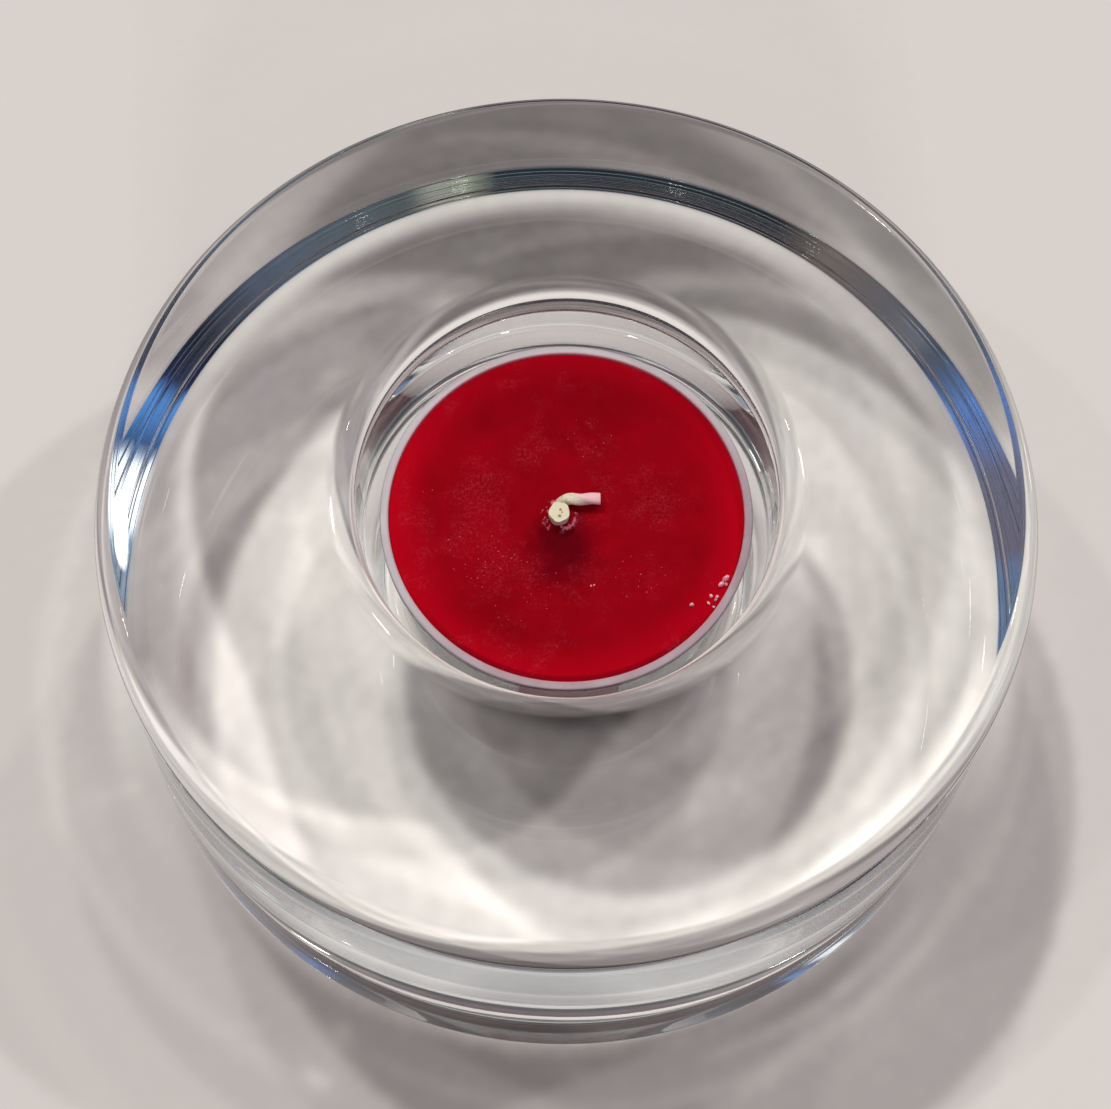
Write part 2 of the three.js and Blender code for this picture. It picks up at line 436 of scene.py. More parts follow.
@dataclass(frozen=True)
class RedWax:
    """Deep red paraffin wax: satin, a little translucent, softly mottled, with a bloom of pale dust."""

    deep: Colour = (0.2, 0.0008, 0.004)
    bright: Colour = (0.3, 0.001, 0.0075)
    edge: Colour = (0.38, 0.001, 0.008)
    # The colour that all painted shade on the wax mixes towards.
    dark: Colour = (0.075, 0.0006, 0.004)
    dust: Colour = (0.5, 0.07, 0.11)
    # The pink of the painted glints round the wick's collar.
    collar: Colour = (0.75, 0.2, 0.3)
    cloud: Grain = (11.0, 3.0, 0.55)
    clouds: Range = (0.32, 0.7)
    mottle: Grain = (2.2, 5.0, 0.65)
    mottles: Range = (0.35, 0.75)
    edge_shares: Range = (0.74, 0.99)
    # Painted shade along the wax's near edge: where it starts and ends, how far towards the viewer, how
    # dark.
    lip: Range = (-0.75, -0.35)
    lip_near: Range = (-9.0, -16.0)
    lip_shade: float = 0.5
    # Painted shadow of the wick on the wax: its middle, its reach and how dark it gets.
    wick_shadow_x: float = -0.3
    wick_shadow_y: float = -3.9
    wick_shadow: Range = (5.2, 0.8)
    wick_shadow_depth: float = 0.85
    # Painted shade over the far part of the wax.
    far: Range = (4.0, 15.0)
    far_shade: float = 0.3
    haze: Grain = (4.0, 6.0, 0.7)
    hazes: Range = (0.53, 0.75)
    haze_left: Range = (2.0, -9.0)
    haze_near: Range = (4.0, -4.0)
    haze_inner: Range = (3.0, 6.0)
    haze_outer: Range = (13.0, 8.5)
    haze_gains: Range = (0.07, 0.09)
    speck: Grain = (0.3, 0.3, 0.6)
    speck_share: float = 0.2
    bloom: Grain = (0.3, 3.0, 0.7)
    blooms: Range = (0.42, 0.75)
    bloom_share: float = 0.22
    dust_most: float = 0.7
    # Painted glints round the wick's collar: their reach, grain, spots and strength.
    collar_reach: Range = (2.1, 1.6)
    glint_grain: Grain = (0.8, 3.0, 0.6)
    glint_steps: Range = (0.5, 0.62)
    glint_share: float = 0.75
    fine: Grain = (0.6, 3.0, 0.6)
    bump_mm: float = 0.06
    rough: Range = (0.34, 0.2)
    shine: float = 0.06
    scatter: float = 0.2
    refraction: float = 1.43
    scatter_mm: float = 0.7

    def build(self, radius: float) -> bpy.types.Material:
        """Makes the wax material.

        Args:
            radius: the radius of the wax's top, in millimetres.

        Returns:
            The material.
        """
        material, book = new_material("red_wax")
        place = book.place()
        x, y, _ = book.axes_mm(place)
        reach = length(x, y)
        clouds = book.noise(place, *self.cloud)
        mottle = book.noise(place, *self.mottle)
        tone = (clouds.step(*self.clouds) * 0.6 + mottle.step(*self.mottles) * 0.3).smaller(1.0)
        red = book.mix(tone, self.deep, self.bright)
        red = book.mix((reach / radius).step(*self.edge_shares), red, self.edge)
        # Painted shade: a darker line along the near edge of the wax.
        lip = (reach - radius).step(*self.lip) * y.step(*self.lip_near) * self.lip_shade
        # Painted shadow: the wick's soft shadow beside it, joined with the near edge's painted shade.
        wick_shadow = length(x - self.wick_shadow_x, (y - self.wick_shadow_y) * 0.8) + (mottle - 0.5) * 3.0
        shade = (wick_shadow.step(*self.wick_shadow) * self.wick_shadow_depth).larger(lip)
        # Painted shade: the far part is darker too, and all painted shade mixes towards the dark colour.
        red = book.mix(shade.larger(y.step(*self.far) * self.far_shade), red, self.dark)
        from_wick = length(x - WICK_ROOT[0], y - WICK_ROOT[1])
        left = x.step(*self.haze_left) * y.step(*self.haze_near) * self.haze_gains[0]
        ring = from_wick.step(*self.haze_inner) * from_wick.step(*self.haze_outer) * self.haze_gains[1]
        haze = (book.noise(place, *self.haze) + left + ring).step(*self.hazes)
        fine = book.specks(place, *self.speck) * haze * self.speck_share
        bloom = book.noise(place, *self.bloom).step(*self.blooms) * haze * self.bloom_share
        # Painted highlight: pink glints in spots round the wick's collar.
        glint = from_wick.step(*self.collar_reach) * book.noise(place, *self.glint_grain).step(*self.glint_steps)
        red = book.mix(glint * self.glint_share, red, self.collar)
        height = clouds * 0.45 + mottle * 0.35 + book.noise(place, *self.fine) * 0.2
        wax = {
            "Base Color": book.mix((fine + bloom).smaller(self.dust_most), red, self.dust),
            "Roughness": mottle.spread(*self.rough),
            "IOR": self.refraction,
            "Specular IOR Level": self.shine,
            "Subsurface Weight": self.scatter,
            "Subsurface Scale": self.scatter_mm * MM,
            "Subsurface Radius": (1.0, 0.1, 0.1),
            "Normal": book.bump(height, self.bump_mm),
        }
        book.surface(book.principled(wax))
        return material


@dataclass(frozen=True)
class Cotton:
    """Primed cotton cord: cream, fine fibres, brown flecks in the cut face and pink where wax crept in.

    Each fleck is (across and up from the face's middle, radius), in millimetres.
    """

    cream: Colour = (0.72, 0.65, 0.52)
    shade: Colour = (0.5, 0.42, 0.32)
    face: Colour = (0.7, 0.62, 0.46)
    brown: Colour = (0.22, 0.14, 0.05)
    pink: Colour = (0.82, 0.4, 0.5)
    pink_across: Range = (0.3, 2.6)
    pink_below: Range = (-0.9, -1.9)
    face_above: Range = (-0.45, -0.2)
    fibre: Grain = (0.16, 4.0, 0.7)
    fibres: Range = (0.3, 0.62)
    patch: Grain = (0.8, 2.0, 0.5)
    scatter: float = 0.15
    scatter_mm: float = 0.3
    bump_mm: float = 0.05
    flecks: tuple[Corner, ...] = ((0.12, 0.22, 0.2), (0.05, -0.45, 0.24), (0.28, -0.05, 0.12))

    def build(self, tip: Vector) -> bpy.types.Material:
        """Makes the cord's material.

        Args:
            tip: the middle of the standing end's cut face, in millimetres.

        Returns:
            The material.
        """
        material, book = new_material("wick_cotton")
        place = book.place()
        x, y, z = book.axes_mm(place)
        over_tip = z - tip.z
        fibre = book.noise(place, *self.fibre)
        on_face = over_tip.step(*self.face_above)
        colour = book.mix(fibre.step(*self.fibres), self.shade, self.cream)
        colour = book.mix(on_face, colour, self.face)
        for across, up, size in self.flecks:
            near = length(x - (tip.x + across), y - (tip.y + up)) + (fibre - 0.5) * 0.25
            colour = book.mix(near.step(size, size * 0.4) * on_face * 0.85, colour, self.brown)
        tinge = x.step(*self.pink_across) * book.noise(place, *self.patch).spread(0.5, 0.5)
        tinge = tinge.larger(over_tip.step(*self.pink_below) * 0.75)
        cord = {
            "Base Color": book.mix(tinge, colour, self.pink),
            "Roughness": 0.8 - tinge * 0.3,
            "Specular IOR Level": 0.3,
            "Subsurface Weight": self.scatter,
            "Subsurface Scale": self.scatter_mm * MM,
            "Normal": book.bump(fibre, self.bump_mm),
        }
        book.surface(book.principled(cord))
        return material


@dataclass(frozen=True)
class TinnedSteel:
    """Stamped tinned sheet: bright, with rolling lines and dull patches."""

    bright: Colour = (0.66, 0.66, 0.65)
    dull: Colour = (0.4, 0.4, 0.41)
    stretch: tuple[float, float, float] = (0.05, 1.0, 1.0)
    line: Grain = (0.15, 3.0, 0.6)
    patch: Grain = (2.0, 4.0, 0.6)
    patches: Range = (0.4, 0.7)

    def build(self) -> bpy.types.Material:
        """Makes the steel material.

        Returns:
            The material.
        """
        material, book = new_material("tinned_steel")
        place = book.place()
        rolled = book.add("ShaderNodeMapping", {}, {"Vector": place, "Scale": self.stretch})
        lines = book.noise(rolled, *self.line)
        patches = book.noise(place, *self.patch)
        steel = {
            "Base Color": book.mix(patches.step(*self.patches), self.bright, self.dull),
            "Metallic": 1.0,
            "Roughness": lines * 0.2 + patches * 0.2 + 0.15,
            "Normal": book.bump(lines, 0.01),
        }
        book.surface(book.principled(steel))
        return material


@dataclass(frozen=True)
class DustFleck:
    """A pale fleck of wax or lint."""

    pale: Colour = (0.85, 0.5, 0.56)
    warm: Colour = (0.7, 0.16, 0.24)
    patch: Grain = (0.3, 2.0, 0.5)
    patches: Range = (0.4, 0.6)
    rough: Range = (0.5, 0.3)

    def build(self) -> bpy.types.Material:
        """Makes the flecks' material.

        Returns:
            The material.
        """
        material, book = new_material("dust_fleck")
        tone = book.noise(book.place(), *self.patch)
        colour = book.mix(tone.step(*self.patches), self.warm, self.pale)
        book.surface(book.principled({"Base Color": colour, "Roughness": tone.spread(*self.rough)}))
        return material


# Turned shapes.


class Outline:
    """The half section of a turned piece, from radius and height corners with rounded bends."""

    def __init__(
        self,
        corners: Sequence[Corner],
        arc_mm: float = 0.25,
        straight_mm: float = 1.5,
        foot_mm: float = 0.25,
    ) -> None:
        """Works out the points.

        Args:
            corners: (radius, height, rounding) in millimetres, in order round the section.
            arc_mm: the longest step on a rounding.
            straight_mm: the longest step on a straight.
            foot_mm: the longest step on the first rounding.
        """
        bends: list[np.ndarray] = []
        for index, (radius, height, rounding) in enumerate(corners):
            corner = np.array((radius, height))
            if rounding == 0 or index in (0, len(corners) - 1):
                bends.append(corner)
            else:
                step = foot_mm if index == 1 else arc_mm
                bends.extend(self._arc(corners, index, corner, rounding, step))
        points = [bends[0]]
        for start, end in zip(bends[:-1], bends[1:]):
            steps = max(1, math.ceil(float(np.linalg.norm(end - start)) / straight_mm))
            points.extend(start + (end - start) * step / steps for step in range(1, steps + 1))
        self.points = np.array(points)

    @staticmethod
    def _arc(
        corners: Sequence[Corner], index: int, corner: np.ndarray, rounding: float, arc_mm: float
    ) -> list[np.ndarray]:
        """Returns the points of one tangent arc.

        Args:
            corners: all corners.
            index: which one is rounded.
            corner: its place.
            rounding: its radius.
            arc_mm: the longest step.

        Returns:
            Points from the arc's start to its end.
        """
        back = np.array(corners[index - 1][:2]) - corner
        ahead = np.array(corners[index + 1][:2]) - corner
        back /= np.linalg.norm(back)
        ahead /= np.linalg.norm(ahead)
        half = math.acos(float(back @ ahead)) / 2
        middle = (back + ahead) / np.linalg.norm(back + ahead)
        centre = corner + middle * rounding / math.sin(half)
        start = corner + back * rounding / math.tan(half) - centre
        end = corner + ahead * rounding / math.tan(half) - centre
        sweep = math.atan2(start[0] * end[1] - start[1] * end[0], float(start @ end))
        steps = max(4, math.ceil(abs(sweep) * rounding / arc_mm))
        return [
            centre + Matrix.Rotation(sweep * step / steps, 2) @ Vector(start) for step in range(steps + 1)
        ]


class PieceTree:
    """A Geometry Nodes tree with named inputs that ends in real, dressed geometry, and what runs it."""

    name = "piece"
    wanted: tuple[tuple[str, str], ...] = ()

    def __init__(self) -> None:
        """Builds the tree."""
        self.tree = bpy.data.node_groups.new(self.name, "GeometryNodeTree")
        face = self.tree.interface
        face.new_socket("Geometry", in_out="INPUT", socket_type="NodeSocketGeometry")
        self.sockets = {
            name: face.new_socket(name, in_out="INPUT", socket_type=kind).identifier
            for name, kind in (*self.wanted, ("Finish", "NodeSocketMaterial"))
        }
        face.new_socket("Geometry", in_out="OUTPUT", socket_type="NodeSocketGeometry")
        book = NodeBook(self.tree)
        entry = book.node("NodeGroupInput", {}, {})
        *inputs, finish = (Signal(book, socket) for socket in entry.outputs[: len(self.sockets) + 1])
        whole = book.add("GeometryNodeRealizeInstances", {}, {0: self._wire(book, *inputs)})
        dressed = book.add("GeometryNodeSetMaterial", {}, {"Geometry": whole, "Material": finish})
        book.node("NodeGroupOutput", {}, {0: dressed})

    def _wire(self, book: NodeBook, source: Signal) -> Signal:
        """Returns the shaped geometry. Each tree has its own."""
        return source

    def run(
        self, name: str, data: bpy.types.ID, values: Sequence[Value], material: bpy.types.Material
    ) -> bpy.types.Object:
        """Runs the tree on a mesh or a curve.

        Args:
            name: the piece's name.
            data: the mesh or curve.
            values: the tree's inputs in order.
            material: its finish.

        Returns:
            The result as a plain mesh object at the origin.
        """
        worker = add_object(data.name, data)
        modifier = worker.modifiers.new(self.name, "NODES")
        modifier.node_group = self.tree
        for socket, value in zip(self.sockets.values(), (*values, material)):
            modifier[socket] = value
        bpy.context.view_layer.update()
        evaluated = worker.evaluated_get(bpy.context.evaluated_depsgraph_get())
        mesh = bpy.data.meshes.new_from_object(evaluated)
        mesh.name = name
        piece = add_object(name, mesh)
        bpy.data.objects.remove(worker)
        mesh.materials.clear()
        mesh.materials.append(material)
        outward(mesh)
        return piece


class TurningTree(PieceTree):
    """Turns a line of section points about the vertical axis into a closed mesh."""

    name = "turned_piece"
    wanted = (("Section points", "NodeSocketInt"), ("Steps round", "NodeSocketInt"))

    def _wire(self, book: NodeBook, section: Signal, rows: Signal, steps: Signal) -> Signal:
        """Adds a grid whose rows sample the section and whose columns go round.

        Args:
            book: the tree's nodes.
            section: the line of points.
            rows: how many points there are.
            steps: facets round the axis.

        Returns:
            The smooth, closed mesh.
        """
        grid = book.add("GeometryNodeMeshGrid", {}, {"Vertices X": steps + 1, "Vertices Y": rows})
        index = book.add("GeometryNodeInputIndex", {}, {})
        column = book.maths("FLOOR", (index + 0.5) / rows)
        spot = book.add("GeometryNodeInputPosition", {}, {})
        point = book.add(
            "GeometryNodeSampleIndex",
            {"data_type": "FLOAT_VECTOR", "domain": "POINT"},
            {"Geometry": section, "Value": spot, "Index": index - column * rows},
        )
        radius, _, height = book.axes(point)
        angle = column / steps * math.tau
        flat = {0: radius * book.maths("COSINE", angle), 1: radius * book.maths("SINE", angle), 2: height}
        place = book.add("ShaderNodeCombineXYZ", {}, flat)
        turned = book.add("GeometryNodeSetPosition", {}, {"Geometry": grid, "Position": place})
        closed = book.add("GeometryNodeMergeByDistance", {}, {"Geometry": turned, "Distance": 1e-7})
        return book.add("GeometryNodeSetShadeSmooth", {}, {0: closed})

    def turn(
        self, name: str, outline: Outline, steps: int, material: bpy.types.Material
    ) -> bpy.types.Object:
        """Turns one outline into a plain mesh object.

        Args:
            name: the piece's name.
            outline: its half section.
            steps: facets round the axis.
            material: its finish.

        Returns:
            The finished object.
        """
        points = outline.points * MM
        line = bpy.data.meshes.new(f"{name}_section")
        edges = [(i, i + 1) for i in range(len(points) - 1)]
        line.from_pydata([(r, 0.0, z) for r, z in points], edges, [])
        return self.run(name, line, (len(points), steps), material)


def lean(degrees: float) -> float:
    """Returns how far a face goes sideways for each millimetre of height."""
    return math.tan(math.radians(degrees))


def read_places(mesh: bpy.types.Mesh) -> np.ndarray:
    """Reads the places of a mesh's points.

    Args:
        mesh: the mesh.

    Returns:
        One row of x, y and z for each point, in metres.
    """
    places = np.empty(len(mesh.vertices) * 3, dtype=np.float32)
    mesh.vertices.foreach_get("co", places)
    return places.reshape(-1, 3)


def outward(mesh: bpy.types.Mesh) -> None:
    """Turns a closed mesh's faces outwards, going by the sign of its volume.

    Args:
        mesh: the mesh.
    """
    mesh.calc_loop_triangles()
    corners = np.empty(len(mesh.loop_triangles) * 3, dtype=np.int32)
    mesh.loop_triangles.foreach_get("vertices", corners)
    a, b, c = read_places(mesh)[corners].reshape(-1, 3, 3).transpose(1, 0, 2)
    if float(np.einsum("ij,ij->i", a, np.cross(b, c)).sum()) < 0:
        mesh.flip_normals()
    mesh.update()


# The glass block.


@dataclass
class GlassBlock:
    """The solid glass block with its recess."""

    side_draft_deg: float = 4.5
    foot_rounding: float = 5.0
    shoulder_rounding: float = 2.4
    recess_mouth: float = 21.6
    recess_depth: float = 24.8
    bore_depth: float = 10.5
    bore_draft_deg: float = 0.5
    taper_deg: float = 6.0
    recess_bend: float = 25.0
    recess_cove: float = 2.5
    lip_rounding: float = 3.0
    foot_radius: float = 51.0
    steps: int = 256
    foot_step: float = 0.045
    height: float = field(default=0.0)

    def __post_init__(self) -> None:
        """Reads the height from the frame."""
        low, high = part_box("glass_holder")
        self.height = (high[2] - low[2]) / MM

    @property
    def recess_floor(self) -> float:
        """The height of the recess's floor."""
        return self.height - self.recess_depth

    def corners(self) -> list[Corner]:
        """Works out the half section's corners.

        Returns:
            (radius, height, rounding) of each, from the underside's middle to the recess's middle.
        """
        side, bore, taper = map(lean, (self.side_draft_deg, self.bore_draft_deg, self.taper_deg))
        bend_z = self.height - self.bore_depth
        bend_radius = self.recess_mouth - (self.bore_depth - self.lip_rounding) * bore
        return [
            (0.0, 0.0, 0.0),
            (self.foot_radius, 0.0, self.foot_rounding),
            (self.foot_radius - self.height * side, self.height, self.shoulder_rounding),
            (self.recess_mouth + self.lip_rounding * bore, self.height, self.lip_rounding),
            (bend_radius, bend_z, self.recess_bend),
            (bend_radius - (bend_z - self.recess_floor) * taper, self.recess_floor, self.recess_cove),
            (0.0, self.recess_floor, 0.0),
        ]

    def build(self, turning: TurningTree) -> bpy.types.Object:
        """Makes the block.

        Args:
            turning: the turning tree.

        Returns:
            The block's object.
        """
        outline = Outline(self.corners(), 0.2, 1.6, self.foot_step)
        block = turning.turn("glass_block", outline, self.steps, ClearGlass().build())
        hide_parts("glass_holder")
        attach(block, Body.HOLDER.value)
        return block


# The tealight.


@dataclass
class Tealight:
    """The clear cup, the wax in it, the wick and the sustainer."""

    cup_top_radius: float = 19.1
    cup_wall: float = 0.5
    cup_floor: float = 0.6
    cup_draft_deg: float = 1.5
    cup_foot_rounding: float = 1.6
    rim_width: float = 0.4
    rim_height: float = 0.9
    wax_below_rim: float = 0.25
    wax_gap: float = 0.03
    wax_edge: float = 0.15
    wax_fade: float = 1.5
    collar_height: float = 0.4
    collar_gap: float = 0.25
    collar_width: float = 0.42
    dip_depth: float = 0.28
    dip_reach: float = 6.5
    steps: int = 192
    base: float = field(default=0.0)
    rim: float = field(default=0.0)

    def __post_init__(self) -> None:
        """Reads the cup's lowest and highest points from the frame."""
        low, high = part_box("tealight_cup")
        self.base = low[2] / MM
        self.rim = high[2] / MM

    @property
    def slope(self) -> float:
        """The wall's lean."""
        return lean(self.cup_draft_deg)

    @property
    def wax_top(self) -> float:
        """The height of the wax."""
        return self.rim - self.wax_below_rim

    def wax_radius(self, z: float) -> float:
        """Returns the wax's radius at a height."""
        return self.cup_top_radius - (self.rim - z) * self.slope - self.cup_wall - self.wax_gap

    def build_cup(self, turning: TurningTree) -> bpy.types.Object:
        """Makes the cup.

        Args:
            turning: the turning tree.

        Returns:
            The cup's object.
        """
        foot = self.cup_top_radius - (self.rim - self.base) * self.slope
        under_rim = self.rim - self.rim_height
        rim_radius = self.cup_top_radius + self.rim_width
        inner_floor = self.base + self.cup_floor
        corners = [
            (0.0, self.base, 0.0),
            (foot, self.base, self.cup_foot_rounding),
            (self.cup_top_radius - self.rim_height * self.slope, under_rim, 0.0),
            (rim_radius, under_rim, self.rim_width / 4),
            (rim_radius, self.rim, self.rim_width / 2),
            (self.cup_top_radius - self.cup_wall, self.rim, self.cup_wall / 3),
            (foot - self.cup_wall, inner_floor, self.cup_foot_rounding - self.cup_wall),
            (0.0, inner_floor, 0.0),
        ]
        finish = CupPlastic().build(self.rim, self.cup_top_radius - self.cup_wall)
        cup = turning.turn("cup_shell", Outline(corners, 0.1, 1.5), self.steps, finish)
        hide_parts("tealight_cup")
        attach(cup, Body.TEALIGHT.value)
        return cup

    def wax_height(self, x: np.ndarray, y: np.ndarray) -> np.ndarray:
        """Gives the wax's rise above its flat, in millimetres.

        Args:
            x: places across.
            y: places away from the viewer.

        Returns:
            The rise: a collar round the wick, a shallow dip beside it and slow unevenness.
        """
        reach = np.hypot(x - WICK_ROOT[0], y - WICK_ROOT[1])
        off = (reach - WICK_RADIUS - self.collar_gap) / self.collar_width
        collar = self.collar_height * np.exp(-(off**2))
        dip = -self.dip_depth * np.exp(-((reach / self.dip_reach) ** 2))
        slow = 0.05 * np.sin(0.33 * x + 0.8) * np.cos(0.27 * y - 0.4) + 0.03 * np.sin(0.71 * x - 0.5 * y)
        return collar + dip + slow

    def build_wax(self, turning: TurningTree) -> bpy.types.Object:
        """Makes the wax.

        Args:
            turning: the turning tree.

        Returns:
            The wax's object.
        """
        low = self.base + self.cup_floor + self.wax_gap
        corners = [
            (0.0, low, 0.0),
            (self.wax_radius(low), low, self.cup_foot_rounding - self.cup_wall),
            (self.wax_radius(self.wax_top), self.wax_top, self.wax_edge),
            (0.0, self.wax_top, 0.0),
        ]
        finish = RedWax().build(self.wax_radius(self.wax_top))
        wax = turning.turn("wax_body", Outline(corners, 0.15, 0.45), self.steps, finish)
        self._shape_top(wax.data)
        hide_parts("wax_fill")
        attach(wax, Body.TEALIGHT.value)
        return wax

    def _shape_top(self, mesh: bpy.types.Mesh) -> None:
        """Lifts and lowers the top of the wax.

        Args:
            mesh: the wax's mesh.
        """
        places = read_places(mesh)
        x, y, z = (places / MM).T
        inner = self.wax_radius(self.wax_top) - self.wax_edge
        top = (z > self.wax_top - 0.01) & (np.hypot(x, y) < inner)
        fade = np.clip((inner - np.hypot(x, y)) / self.wax_fade, 0, 1)
        places[top, 2] += (self.wax_height(x, y) * fade)[top] * MM
        mesh.vertices.foreach_set("co", places.ravel())
        mesh.update()


def dress_sustainer() -> bpy.types.Object:
    """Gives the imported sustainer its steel.

    Returns:
        The sustainer's object.
    """
    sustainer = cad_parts["wick_sustainer"]
    sustainer.data.materials.clear()
    sustainer.data.materials.append(TinnedSteel().build())
    return sustainer


# Crumbs on the wax.


class CrumbTree(PieceTree):
    """Scatters small uneven lumps over patches that carry an amount and a size."""

    name = "scattered_crumbs"
    wanted = (("Seed", "NodeSocketInt"),)
    lump_turn = ((0.0, 0.0, 0.0), (6.28, 6.28, 6.28))
    lump_stretch = ((0.35, 0.35, 0.3), (1.2, 1.0, 0.8))

    def _wire(self, book: NodeBook, patches: Signal, seed: Signal) -> Signal:
        """Adds points by amount, then one lump on each, turned and stretched at random.

        Args:
            book: the tree's nodes.
            patches: the patches.
            seed: the seed.

        Returns:
            The lumps.
        """
        amount, size = (
            book.add("GeometryNodeInputNamedAttribute", {"data_type": "FLOAT"}, {"Name": name})
            for name in ("amount", "size")
        )
        scattered = {"Mesh": patches, "Density": amount, "Seed": seed}
        points = book.add("GeometryNodeDistributePointsOnFaces", {}, scattered)
        lump = book.add("GeometryNodeMeshIcoSphere", {}, {"Radius": 1.0, "Subdivisions": 2})
        uneven = book.add("ShaderNodeTexNoise", {}, {"Scale": 1.3, "Detail": 1.0}, "Color")
        centred = {0: uneven, 1: (0.5, 0.5, 0.5)}
        offset = book.add("ShaderNodeVectorMath", {"operation": "SUBTRACT"}, centred)
        shaped = book.add("GeometryNodeSetPosition", {}, {"Geometry": lump, "Offset": offset})
        vector = {"data_type": "FLOAT_VECTOR"}
        turn, stretch = (
            book.add("FunctionNodeRandomValue", vector, {0: low, 1: high, "Seed": draw})
            for (low, high), draw in ((self.lump_turn, seed), (self.lump_stretch, seed + 7))
        )
        scale = book.add("ShaderNodeVectorMath", {"operation": "SCALE"}, {0: stretch, "Scale": size})
        placed = {"Points": points, "Instance": shaped, "Rotation": turn, "Scale": scale}
        crumbs = book.add("GeometryNodeInstanceOnPoints", {}, placed)
        whole = book.add("GeometryNodeRealizeInstances", {}, {0: crumbs})
        return book.add("GeometryNodeSetShadeSmooth", {}, {0: whole})


@dataclass(frozen=True)
class Crumbs:
    """Pale flecks of wax and dust that lie on the wax, in loose clusters.

    Each cluster is (x, y, radius, lumps in a square millimetre at its middle, largest lump's radius).
    """

    clusters: tuple[tuple[float, float, float, float, float], ...] = (
        (-9.0, -4.8, 3.4, 2.4, 0.045),
        (-4.6, -8.6, 4.6, 1.3, 0.05),
        (7.8, -7.2, 2.8, 2.0, 0.05),
        (2.2, 8.4, 3.4, 1.0, 0.04),
        (-12.6, -5.5, 0.5, 5.0, 0.12),
        (16.2, -6.9, 0.9, 7.0, 0.5),
        (15.4, -9.2, 0.7, 7.0, 0.36),
        (13.4, -9.4, 0.5, 11.0, 0.34),
        (3.1, -8.0, 0.4, 10.0, 0.13),
        (8.6, -0.9, 0.5, 8.0, 0.14),
        (-14.6, 1.0, 2.0, 0.8, 0.05),
    )
    seed: int = 11
    corners: int = 16

    def build(self, tealight: Tealight, tree: CrumbTree) -> bpy.types.Object:
        """Makes the crumbs.

        Args:
            tealight: gives the wax's shape.
            tree: the crumb tree.

        Returns:
            The crumbs' object.
        """
        places, faces, amounts, sizes = [], [], [], []
        turns = [math.tau * k / self.corners for k in range(self.corners)]
        for x, y, radius, amount, size in self.clusters:
            first = len(places)
            edge = [(x + radius * math.cos(turn), y + radius * math.sin(turn)) for turn in turns]
            for number, (across, away) in enumerate([(x, y)] + edge):
                rise = float(tealight.wax_height(np.array(across), np.array(away)))
                places.append((across * MM, away * MM, (tealight.wax_top + rise + size * 0.2) * MM))
                amounts.append(0.0 if number else amount / MM**2)
                sizes.append(size * MM)
            for k in range(self.corners):
                faces.append((first, first + 1 + k, first + 1 + (k + 1) % self.corners))
        mesh = bpy.data.meshes.new("crumb_patches")
        mesh.from_pydata(places, [], faces)
        for name, values in (("amount", amounts), ("size", sizes)):
            mesh.attributes.new(name, "FLOAT", "POINT").data.foreach_set("value", values)
        crumbs = tree.run("wax_crumbs", mesh, (self.seed,), DustFleck().build())
        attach(crumbs, Body.TEALIGHT.value)
        return crumbs


# The wick.


class CordTree(PieceTree):
    """Sweeps a fluted, twisting section along a path, as the strands of a cord lie."""

    name = "laid_cord"
    wanted = tuple((name, "NodeSocketFloat") for name in ("Cord radius", "Turns", "Strands", "Groove"))
    path_points = 110
    round_points = 60

    def _wire(
        self, book: NodeBook, path: Signal, radius: Signal, turns: Signal, strands: Signal, groove: Signal
    ) -> Signal:
        """Adds a path that twists, and a round section with one bulge for each strand.

        Args:
            book: the tree's nodes.
            path: the cord's path.
            radius: the cord's radius.
            turns: how often the strands go round.
            strands: how many there are.
            groove: the depth between strands as a share of the radius.

        Returns:
            The cord.
        """
        fine = book.add("GeometryNodeResampleCurve", {}, {"Curve": path, "Count": self.path_points})
        along = book.add("GeometryNodeSplineParameter", {}, {}, "Factor")
        tilt = along * turns * math.tau
        twisted = book.add("GeometryNodeSetCurveTilt", {}, {"Curve": fine, "Tilt": tilt})
        ring = {"Resolution": self.round_points, "Radius": radius}
        circle = book.add("GeometryNodeCurvePrimitiveCircle", {}, ring)
        bulge = book.maths("COSINE", along * strands * math.tau)
        spot = book.add("GeometryNodeInputPosition", {}, {})
        scaled = {0: spot, "Scale": 1.0 - groove * (0.5 - bulge * 0.5)}
        shaped = book.add("ShaderNodeVectorMath", {"operation": "SCALE"}, scaled)
        section = book.add("GeometryNodeSetPosition", {}, {"Geometry": circle, "Position": shaped})
        swept = {"Curve": twisted, "Profile Curve": section, "Fill Caps": True}
        return book.add("GeometryNodeCurveToMesh", {}, swept)

    def lay(
        self, name: str, route: Sequence[Corner], strands: Sequence[float], material: bpy.types.Material
    ) -> bpy.types.Object:
        """Lays one cord.

        Args:
            name: the piece's name.
            route: points of the path in millimetres.
            strands: the cord's radius in millimetres, and the strands' turns, number and groove.
            material: the finish.

        Returns:
            The cord as a plain mesh object.
        """
        curve = bpy.data.curves.new(f"{name}_path", "CURVE")
        curve.dimensions = "3D"
        spline = curve.splines.new("BEZIER")
        spline.bezier_points.add(len(route) - 1)
        for point, place in zip(spline.bezier_points, route):
            point.co = Vector(place) * MM
            point.handle_left_type = point.handle_right_type = "AUTO"
        radius, *rest = strands
        return self.run(name, curve, (radius * MM, *rest), material)


